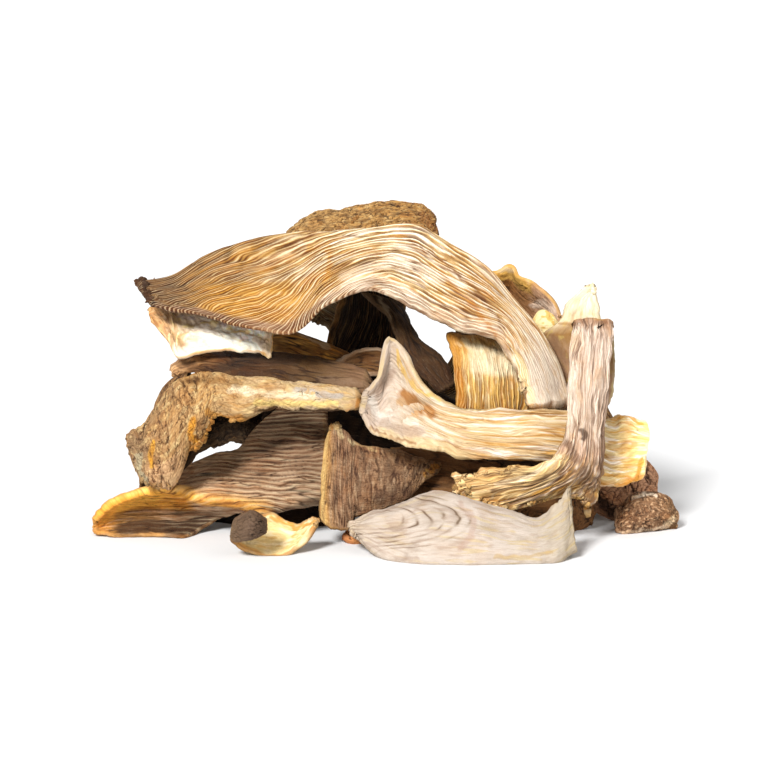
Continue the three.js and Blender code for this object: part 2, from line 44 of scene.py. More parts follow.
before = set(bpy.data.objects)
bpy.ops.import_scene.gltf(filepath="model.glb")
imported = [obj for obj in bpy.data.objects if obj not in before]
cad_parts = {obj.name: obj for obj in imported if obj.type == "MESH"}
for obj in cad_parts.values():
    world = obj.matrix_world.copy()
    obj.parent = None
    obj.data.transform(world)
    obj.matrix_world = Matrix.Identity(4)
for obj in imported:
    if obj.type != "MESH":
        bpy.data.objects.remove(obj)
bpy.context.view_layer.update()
BODY = "root"
MM = 0.001

# The viewer's place, from which the layout of the heap was taken.
SIGHT_ANGLE = math.radians(10)
SIGHT_DISTANCE = 1000
SIGHT_HEIGHT = 36
# The middle of the heap's box in the layout, which is the model's origin.
MIDDLE = np.array([0.5, 2.1, 0.0])
EYE = np.array(
    [
        0.0,
        -SIGHT_DISTANCE * math.cos(SIGHT_ANGLE),
        SIGHT_HEIGHT + SIGHT_DISTANCE * math.sin(SIGHT_ANGLE),
    ]
)
# The least thickness of a dried blade at its edge, and how far it stays above the ground.
EDGE_THICKNESS = 0.7
GROUND_GAP = 0.03
# How far the edge bulges out, as a share of half its thickness.
RIM_ROUNDNESS = 0.9
# How far in from its edge a blade is torn, curls, and has its relief fading out, in millimetres.
TORN_REACH = 6
CURL_REACH = 7
RELIEF_FADE = 1.2
CENTIMETRE = 10
# The tones below are how the pieces look in the light of the studio; the flesh itself is darker.
FLESH_SHADE = np.array([0.79, 0.74, 0.655])
# What the material lays over the tones, from the widest to the finest.
COOL_TINT = (0.68, 0.62, 0.66, 1)
FIBRE_SHADE = (0.42, 0.3, 0.2, 1)
FIBRE_GLEAM = (0.3, 0.26, 0.19, 1)
PORE_SHADE = (0.35, 0.22, 0.13, 1)
# Painted shade in the valleys of the fine gills, a painted highlight on their ridges and painted shade in
# the cracks.
VALLEY_SHADE = (0.36, 0.22, 0.1, 1)
RIDGE_GLEAM = (0.4, 0.33, 0.2, 1)
CRACK_SHADE = (0.2, 0.11, 0.06, 1)
FLESH_GLOSS = 0.28
BUMP_STRENGTH = 0.6
BUMP_HEIGHT = 0.5

# The layout of each piece, as in the source of the model: rows across the blade from its upper edge to
# its lower edge. A row holds its points, or the x, h and y of its upper and lower end and how far its
# belly stands out between them. Thick: the thickness along the blade. Round: how blunt its sides are,
# blunter the larger. Ruffle: the height of its waves. Roll top and roll low: how far an extra row lies
# behind and below that edge. Roll share: how much of the roll there is along the blade. Behind: laid
# out as seen from behind.
SHAPES = {
    "bridge_fan": {
        "thick": [2, 2.2, 2.4, 3, 3.6, 4, 3.6, 3.2],
        "roll_top": [9, 7],
        "roll_share": [0.3, 0.7, 1, 1, 1, 0.7, 0.5],
        "rows": [
            [-61, 25, -6, -58, 19.5, -12, 0], [-53, 26, -3, -51.5, 18.3, -16, 1],
            [-44.8, 30.8, -1, -43.5, 16.8, -20, 2], [-34.8, 34.6, 2, -34, 14, -24, 3],
            [-23.5, 36.6, 5, -22.3, 13, -27, 3], [-13.5, 36.8, 6, -14.8, 19.3, -24, 3],
            [-2.3, 37.6, 6, -3.5, 23.8, -19, 4], [7.8, 38.2, 4, 4, 20.8, -18, 4],
            [15.3, 33.8, 1, 11.5, 16.8, -18, 4], [24, 28.4, -3, 20.3, 13, -20, 3],
            [31, 20.3, -6, 28.5, 11, -21, 2], [37.8, 12.3, -10, 32, 5.3, -23, 2],
            [42, 4.8, -14, 34.3, -0.3, -24, 2], [45.5, -4.6, -17, 35.8, -5, -24, 2],
        ],
    },
    "crown_cap": {
        "thick": 2.6,
        "rows": [
            [[-26, 29, 31], [-25, 33, 26], [-23.6, 36.8, 20], [-23.8, 36, 17], [-23.5, 34.5, 15]],
            [[-21, 28, 38], [-19, 36, 31], [-17.6, 41.6, 23], [-18, 39.2, 18], [-18, 36, 14]],
            [[-12, 25, 43], [-10, 36, 36], [-9.8, 42.7, 25], [-9.8, 40.6, 19], [-9.8, 36.5, 14]],
            [[-2, 28, 42], [-1, 37.5, 35], [-1.5, 43.9, 25], [-1.5, 41.4, 19], [-1.5, 37.5, 14]],
            [[9, 32, 37], [9, 38.5, 32], [8.5, 43.9, 25], [9, 42, 19], [9, 39, 13]],
            [[14, 34, 31], [13, 37.5, 27], [11.6, 41.4, 22], [12.2, 40.1, 17], [12.7, 37, 13]],
        ],
    },
    "pale_fan_left": {
        "thick": 1.8,
        "rows": [
            [-58.5, 19, 2, -58, 15.5, -2, 0], [-54.8, 19.8, 2, -54, 11, -8, 1],
            [-51, 19.8, 2, -51.5, 6.5, -11, 2], [-44.8, 19, 1, -44.8, 8.3, -12, 2],
            [-37.3, 18, 0, -37.3, 8.3, -12, 2], [-31.5, 16.5, -1, -31.5, 8.3, -11, 2],
            [-28, 13.5, -3, -29, 6.6, -11, 1],
        ],
    },
    "olive_roll": {
        "thick": 1.8,
        "roll_top": [5, 3],
        "rows": [
            [-30.5, 13.3, 6, -30.5, 8, 4, 1], [-24.8, 13, 3, -24.8, 8, 0.5, 2],
            [-18.5, 11, 3, -18.5, 6.4, -1, 2], [-13.5, 8.8, 2, -14, 5, -0.5, 2],
            [-9.3, 6.8, 2, -11, 4.5, 0, 1],
        ],
    },
    "dark_curl": {
        "thick": 1.6,
        "rows": [
            [-12.3, 4.6, -5, -11.5, 4, -5, 0], [-9, 7, -4, -8.5, 3, -5, -1],
            [-5.5, 8.5, -2, -5, 2, -5, -2], [-1, 8.8, -1, -1.5, 2, -5, -2],
            [2, 8, 0, 1.5, 3.5, -4, -1],
        ],
    },
    "rolled_cap_left": {
        "thick": [1.8, 2, 2.2, 3, 4, 4.5, 4.5],
        "round": 3,
        "roll_top": [8, 4],
        "roll_share": [0.6, 1, 1, 0.3, 0.3, 0.3],
        "rows": [
            [-52.8, 4.5, -4, -52.5, 2, -6, 1], [-48.5, 8, -3, -48.5, 2.8, -8, 3],
            [-44.3, 8.5, -3, -44.3, 2.5, -9, 3], [-39.8, 7.3, -4, -39.8, 1.5, -11, 3],
            [-36, 7, -5, -36, 0.5, -12, 3], [-28.5, 6.5, -6, -28.5, 0.3, -12, 3],
            [-21, 5.8, -7, -21, -1, -13, 3], [-13.5, 4, -9, -13.5, -1.5, -14, 3],
            [-4.8, 1.8, -12, -4.8, -2, -15, 2],
        ],
    },
    "crumpled_cap_left": {
        "thick": [1.6, 1.8, 2, 2.2, 2.6, 4, 4.6, 4.6, 4.4],
        "round": 3,
        "rows": [
            [-64, -12.8, -12, -63.5, -17.3, -14, 1], [-60.3, -10, -14, -60.5, -24, -18, 2],
            [-56.8, -5, -16, -57.3, -25.8, -19, 4], [-53.5, -0.8, -17, -53, -25.5, -20, 6],
            [-50.3, 1.5, -18, -49, -17, -22, 6], [-46, 2.5, -18, -46, -15, -24, 5],
            [-42.3, 2.5, -18, -42.8, -8, -25, 3], [-36.5, 1, -19, -36, -8.5, -24, 3],
            [-28.5, 1, -20, -28.5, -5.8, -23, 2], [-21, -0.5, -21, -21, -5.3, -24, 2],
            [-13.5, -1, -22, -13.5, -5.8, -25, 2], [-6.8, -1.8, -23, -6.8, -6.3, -26, 1],
        ],
    },
    "ribbed_gutter_cap": {
        "thick": 1.8,
        "rows": [
            [[-71.8, -33, -6], [-72, -33.5, -8], [-72.3, -34.2, -13],
             [-72, -35, -11], [-72, -36, -11], [-72.3, -37, -14]],
            [[-68, -30.5, 0], [-68.3, -30, -4], [-68.5, -30.2, -13],
             [-68.3, -32.2, -10], [-68, -35.6, -9], [-68.5, -37.8, -15]],
            [[-61.8, -28.5, 3], [-62, -27.6, -2], [-62.3, -27.6, -13],
             [-62, -30.3, -7], [-61.8, -34.8, -6], [-62.3, -37.8, -15]],
            [[-54.8, -27.4, 4], [-55.5, -26.3, -2], [-56, -26.3, -12],
             [-55.8, -30.2, -5], [-55.8, -34.6, -4], [-56, -38, -15]],
            [[-48.5, -20.5, 4], [-49.3, -25.2, -3], [-50.5, -26.8, -13],
             [-50, -30.6, -6], [-50, -35, -5], [-50.5, -38.4, -16]],
            [[-42.3, -17.4, 4], [-44, -22, -4], [-45.3, -28.8, -15],
             [-45.3, -31, -10], [-45, -33, -8], [-44.8, -36, -10]],
            [[-37.3, -17, 2], [-37.3, -22.6, -7], [-37.3, -29.5, -18],
             [-37.3, -30.8, -14], [-37.3, -31.5, -10], [-37.3, -31.8, -7]],
            [[-31.5, -10.5, 1], [-30.5, -19.5, -9], [-30, -31.5, -20],
             [-30.5, -32, -16], [-30.5, -31.5, -12], [-30.5, -31.5, -9]],
            [[-23.5, -4.5, 0], [-23.5, -17.8, -10], [-23.5, -29.8, -19],
             [-23.5, -30.6, -15], [-23.5, -30.6, -11], [-23.5, -30.6, -8]],
            [[-14.8, -3.5, 0], [-14.8, -16.5, -9], [-14.8, -27.5, -14],
             [-14.8, -29, -11], [-14.8, -29.3, -8], [-14.8, -29.3, -5]],
        ],
    },
    "lemon_cup": {
        "thick": 1.6,
        "rows": [
            [-29.6, -34, -40, -29.8, -37.2, -40.6, 1], [-32.8, -31.8, -41, -33.2, -39, -43, 3],
            [-36.3, -33.4, -39, -36.3, -39.5, -41, 1.5], [-37.4, -35.5, -36, -37.4, -39.3, -38, 0],
            [-34.5, -34, -32, -34.5, -41.3, -36.5, -1], [-28, -32.5, -29, -28, -43.3, -36, -3],
            [-22.8, -34.8, -29, -22.3, -41.5, -35, -3], [-19.5, -34.3, -30, -19.5, -39, -34, -2],
            [-16.8, -34.3, -31, -17, -35.3, -32, 0],
        ],
    },
    "square_cap": {
        "thick": 2.2,
        "rows": [
            [-14.5, -14, -18, -15.5, -34, -24, 0], [-12, -9.8, -18, -12.8, -35.8, -25, 1],
            [-9.8, -11.5, -19, -9.3, -36.3, -25, 2], [-7.3, -14.5, -20, -7, -33.3, -25, 2],
            [-1, -16.3, -20, -1.5, -31.8, -25, 2], [7, -17.8, -19, 5.3, -29.3, -24, 1],
            [11, -19.3, -18, 8.5, -25, -21, 0], [14, -20.3, -17, 12, -21.8, -18, 0],
        ],
    },
    "white_slice": {
        "thick": [1.6, 2, 2.4, 2.6, 2.6, 2.6, 2.4, 2.2, 1.8],
        "roll_low": [7, 1],
        "rows": [
            [-8.5, -34.5, -30, -8, -37, -31, 0], [-3, -32.3, -30, -3.5, -40.3, -36, 1],
            [4, -29.8, -31, 4, -44, -42, 2], [13.3, -26.8, -32, 9, -44.6, -44, 3],
            [22.8, -29, -33, 20.3, -44.6, -45, 3], [31, -31.8, -34, 29, -44.6, -45, 2],
            [38.5, -33.8, -35, 37.8, -44.3, -44, 2], [43.3, -29.8, -35, 43, -44, -43, 1],
            [46.3, -25.8, -34, 47.3, -41, -39, 0],
        ],
    },
    "stem_crumb": {
        "thick": [2.4, 3.6, 3.6, 2.4],
        "round": 2,
        "rows": [
            [-9.5, -36.9, -21.2, -9.5, -39.4, -21.2, 0], [-7.5, -36.6, -21.2, -7.5, -39.9, -21.2, 0.5],
            [-5.5, -36.8, -21.2, -5.5, -39.7, -21.2, 0.5], [-4, -37.2, -21.2, -4, -39, -21.2, 0],
        ],
    },
    "cup_stem": {
        "thick": [1.8, 2, 2.2, 2.8, 4, 5.5, 6, 6, 6],
        "round": 4,
        "rows": [
            [-4.5, -2, -29, -5.8, -7.5, -31, -1], [-1.5, 1.5, -28, -2.3, -12.3, -33, -4],
            [1, 11.5, -27, 1.5, -14, -34, -6], [5, 8.5, -27, 6, -15.3, -34, -6],
            [10, -0.5, -27, 11.5, -16.3, -33, -4], [19, -5.6, -26, 18.5, -18, -31, 0],
            [29, -6.6, -25, 29, -19, -29, 2], [39, -7, -23, 39, -19, -27, 3],
            [49, -7.5, -19, 47.8, -21, -24, 3], [55.3, -9, -15, 54, -25, -21, 2],
            [59.5, -8, -12, 59, -25.5, -18, 1], [64.3, -9.3, -9, 63.3, -24, -14, 1],
        ],
    },
    "strap_fan": {
        "thick": [3, 3.4, 3.4, 3, 2.6, 2.2, 1.8],
        "rows": [
            [[57, 14.8, -14], [54.5, 15.3, -15], [52, 15.5, -16], [49.5, 15.3, -15], [47.3, 15, -14]],
            [[56.8, 9.8, -20], [54.3, 9.8, -22], [52, 9.8, -22], [49.5, 9.8, -22], [47, 9.8, -20]],
            [[55.8, 0, -27], [53.3, 0, -29], [51, 0, -29], [48.5, 0, -29], [46.3, 0, -27]],
            [[55, -10, -31], [52.5, -10, -33], [50.3, -10, -33], [48, -10, -33], [45.8, -10, -32]],
            [[54.8, -17.8, -32], [52, -17.8, -34], [49.3, -17.8, -35],
             [46.5, -17.3, -35], [43.8, -17, -34]],
            [[54.3, -22.8, -29], [51, -22, -31], [46.5, -21.5, -34], [42.3, -21, -35], [38.5, -20.5, -34]],
            [[53, -27.8, -25], [49, -25, -28], [41.5, -25.5, -31], [32.8, -25, -31], [29, -20.8, -31]],
            [[51, -33.8, -22], [47.5, -27.3, -26], [29, -30.8, -28], [18, -28.3, -28], [17, -23, -28]],
        ],
    },
    "yellow_ribbed_cap": {
        "thick": 2,
        "rows": [
            [36, 10, -8, 15.8, 12.5, -10, 2], [37, 5.3, -10, 17, 8, -12, 3],
            [37.5, 0, -12, 17.8, 2.3, -14, 3], [37.5, -6, -13, 18.5, -4.8, -16, 3],
            [37, -10, -13, 19, -9, -16, 2],
        ],
    },
    "arch_strap": {
        "thick": 1.8,
        "rows": [
            [4.5, 20, 8, -5.5, 22.5, 4, 1], [7, 14.8, 6, 0.3, 17.5, 2, 1],
            [9, 10.5, 4, 3.3, 11, 0, 1], [14.5, 6, 1, 6.8, 4.5, -2, 1],
            [17.8, -0.3, -2, 13.5, -2, -4, 1],
        ],
    },
    "right_curl": {
        "thick": 1.8,
        "ruffle": 0.5,
        "rows": [
            [26.5, 28, 10, 29, 14, 12, -2], [31.5, 29.3, 9, 32.8, 10, 10, -5],
            [35, 26.3, 8, 36.5, 8, 8, -6], [40.3, 23.3, 6, 40.3, 6, 6, -5],
            [44, 17, 5, 43.5, 5, 5, -2],
        ],
    },
    "small_lemon": {
        "thick": 1.6,
        "rows": [
            [36.8, 15, 3, 37, 11.5, 3, 0], [39, 18, 3, 39, 11.5, 2, 1],
            [42, 17.5, 3, 42, 11.5, 2, 1], [43.5, 15, 3, 43.3, 11.5, 3, 0],
        ],
    },
    "spike_cap": {
        "thick": 1.8,
        "rows": [
            [52.6, 24.4, -6, 50.8, 24.4, -6, 0], [53.5, 19.8, -6, 46, 20.3, -5, 1],
            [54.5, 16, -6, 44, 16, -4, 1], [57, 12, -6, 40, 12.4, -3, 1],
            [57, 6, -8, 40.8, 8, -6, 1], [57, 0, -10, 42.8, 3, -8, 1],
            [56, -5, -11, 45, -3, -10, 1],
        ],
    },
    "right_rear_brown": {
        "thick": 1.8,
        "rows": [
            [52.8, -24, 10, 52, -31, 8, 1], [59, -21.5, 10, 57.8, -34, 5, 2],
            [64, -18.3, 10, 64, -34, 5, 3], [67.8, -22.5, 10, 67.8, -29, 8, 1],
        ],
    },
    "right_front_brown": {
        "thick": 2,
        "roll_top": [4, 3],
        "rows": [
            [58.3, -32.3, -8, 58.5, -37.2, -10, 1], [62, -28.8, -6, 62, -37.2, -10, 4],
            [66, -27.6, -5, 66, -36.4, -7, 5], [70.3, -29, -5, 70.3, -36, -5, 4],
            [72.8, -33, -4, 72.8, -35.8, -4, 1],
        ],
    },
    "brown_mid": {
        "thick": 1.8,
        "rows": [
            [2, -16, -10, 2, -27.8, -14, 1], [14, -17, -11, 14, -29.5, -15, 2],
            [22.8, -18.5, -11, 22.8, -30, -15, 2], [30, -20, -9, 29, -30, -14, 1],
        ],
    },
    "dark_pocket": {
        "thick": 1.8,
        "rows": [
            [29.5, -22, -20, 29, -35, -22, -2], [36.5, -22, -17, 36.5, -36.5, -22, -5],
            [44, -22, -13, 44, -37, -17, -5], [48.5, -24, -10, 47.5, -37.8, -7, -3],
            [52, -27, -9, 52, -35, -5, -1],
        ],
    },
    "under_cap": {
        "thick": 1.8,
        "rows": [
            [-44, -31.5, 14, -44, -35.5, 4, 0], [-36, -29, 14, -36, -36, 1, 1],
            [-26, -28.5, 12, -26, -36.5, -1, 2], [-16, -28.5, 12, -16, -36.5, -1, 1],
            [-8, -30, 12, -8, -36, 2, 0],
        ],
    },
    "back_fan": {
        "behind": True,
        "thick": [3, 2.6, 2.2, 2, 2, 1.8],
        "ruffle": 1,
        "rows": [
            [[11.5, 31, -17], [8, 31.5, -20], [3.5, 31.5, -21], [-1, 31.5, -20], [-5, 31, -17]],
            [[12, 21, -19], [8, 21, -23], [3.5, 21, -24], [-1, 21, -23], [-4, 21, -19]],
            [[12.5, 8, -22], [8, 8, -27], [3.5, 8, -28], [-1, 8, -27], [-5, 8, -22]],
            [[18, -6, -27], [14.5, -5, -30], [8, -5, -31], [0, -5, -30], [-7, -6, -25]],
            [[27, -22, -31], [22, -21, -34], [10, -20, -37], [-2, -21, -35], [-11, -22, -28]],
            [[33, -41, -33], [28, -43, -37], [12, -43.5, -41], [-5, -42.5, -39], [-16, -40, -30]],
        ],
    },
    "back_long_fan": {
        "behind": True,
        "thick": [1.8, 2, 2.2, 2.4, 3, 3.6, 4, 4, 3.6],
        "ruffle": 1,
        "rows": [
            [-61, -24, -30, -58, -36, -33, 2], [-51, -8, -34, -52, -41.5, -41, 5],
            [-39, 1, -35, -42, -43.5, -44, 7], [-27, 5, -36, -29, -36, -46, 7],
            [-15, -11.5, -36, -16, -25, -45.5, 4], [-3, 2.5, -36, -3, -10, -43, 3],
            [10, 11, -34, 11, -1, -38, 2], [22, 17, -29, 23, 7, -33, 2],
            [34, 18, -23, 35, 9, -27, 2], [45, 15, -18, 45, 8, -21, 1],
        ],
    },
    "back_top_fan": {
        "behind": True,
        "thick": 2,
        "ruffle": 0.6,
        "rows": [
            [-47, 8, -15, -46, 0.5, -13.5, 1], [-41, 14, -19, -41, 3.2, -16, 3],
            [-32, 18, -21, -33, 3.8, -17, 4], [-24, 20, -21, -25, 2, -18, 4],
            [-18.5, 20, -20, -20, -4, -19, 2],
        ],
    },
    "back_cap_left": {
        "behind": True,
        "thick": 2,
        "ruffle": 1.2,
        "roll_top": [3.5, 1],
        "rows": [
            [21, 1, -13, 22, -34, -22, 3], [27, 5, -13, 27, -32, -24, 5],
            [34, 6, -14, 34, -24, -24, 5], [40, 5, -14, 41, -24, -23, 5],
            [46, 1, -13, 47.5, -25.5, -22.5, 5], [49, -6, -12, 56, -40.5, -23, 4],
        ],
    },
    "back_cap_right": {
        "behind": True,
        "thick": 2,
        "ruffle": 1.2,
        "roll_top": [4, 1],
        "rows": [
            [-63, -22, -16, -65, -40, -17, 1], [-58, -14, -14, -60, -42, -22, 3],
            [-52, -4, -12, -52, -43, -27, 6], [-43, 1, -14, -42, -43, -30, 6],
            [-34, -1, -15, -33, -42.5, -29, 5], [-27, -8, -16, -27, -41.5, -26, 3],
        ],
    },
    "back_slice": {
        "behind": True,
        "thick": 2,
        "roll_low": [4, 1],
        "rows": [
            [-16, -37, -44, -16, -43.5, -45, 1], [-8, -31, -45, -8, -45, -47.5, 2],
            [2, -29, -45, 2, -45.5, -48.2, 3], [12, -32, -44, 13, -45.3, -48, 2],
            [22, -39, -43, 22, -44.5, -45, 1],
        ],
    },
    "back_stem": {
        "behind": True,
        "thick": [4, 6, 7, 7, 6],
        "round": 2,
        "rows": [
            [31, -38, -41, 31, -43, -41, 1], [39, -37, -39, 39, -43, -39, 2],
            [48, -36.4, -36, 48, -42.4, -36, 2], [57, -36.4, -31, 57, -41.4, -31, 1],
        ],
    },
    "side_left_cap": {
        "behind": True,
        "thick": 2,
        "rows": [
            [[47, -16, -29], [52, -21, -30], [56, -28, -31], [59, -36, -30], [60, -42, -28]],
            [[49, -6, -21], [55, -11, -22], [59, -20, -23], [62, -31, -22], [63, -40.5, -20]],
            [[50.5, -1, -11], [56, -6, -12], [59, -15, -12], [61, -27, -12], [62, -38, -12]],
            [[50, -3, -4], [55, -8, -3], [58, -14, -2], [60, -20, -2], [61, -26, -3]],
        ],
    },
    "inner_fan": {
        "thick": 2,
        "ruffle": 0.8,
        "rows": [
            [-30, -5, 9, -28, -26, 15, 2], [-18, -1, 11, -18, -31, 17, 3],
            [-4, 0, 13, -4, -33, 20, 4], [10, -1, 13, 10, -33, 19, 3],
            [20, -5, 11, 20, -29, 16, 2],
        ],
    },
    "inner_cap": {
        "thick": 2,
        "rows": [
            [23, -1, 3, 23, -30, 8, 2], [31, 2, 1, 31, -33, 8, 3],
            [40, 1, 0, 40, -33, 7, 3], [48, -6, 2, 48, -29, 5, 2],
        ],
    },
}
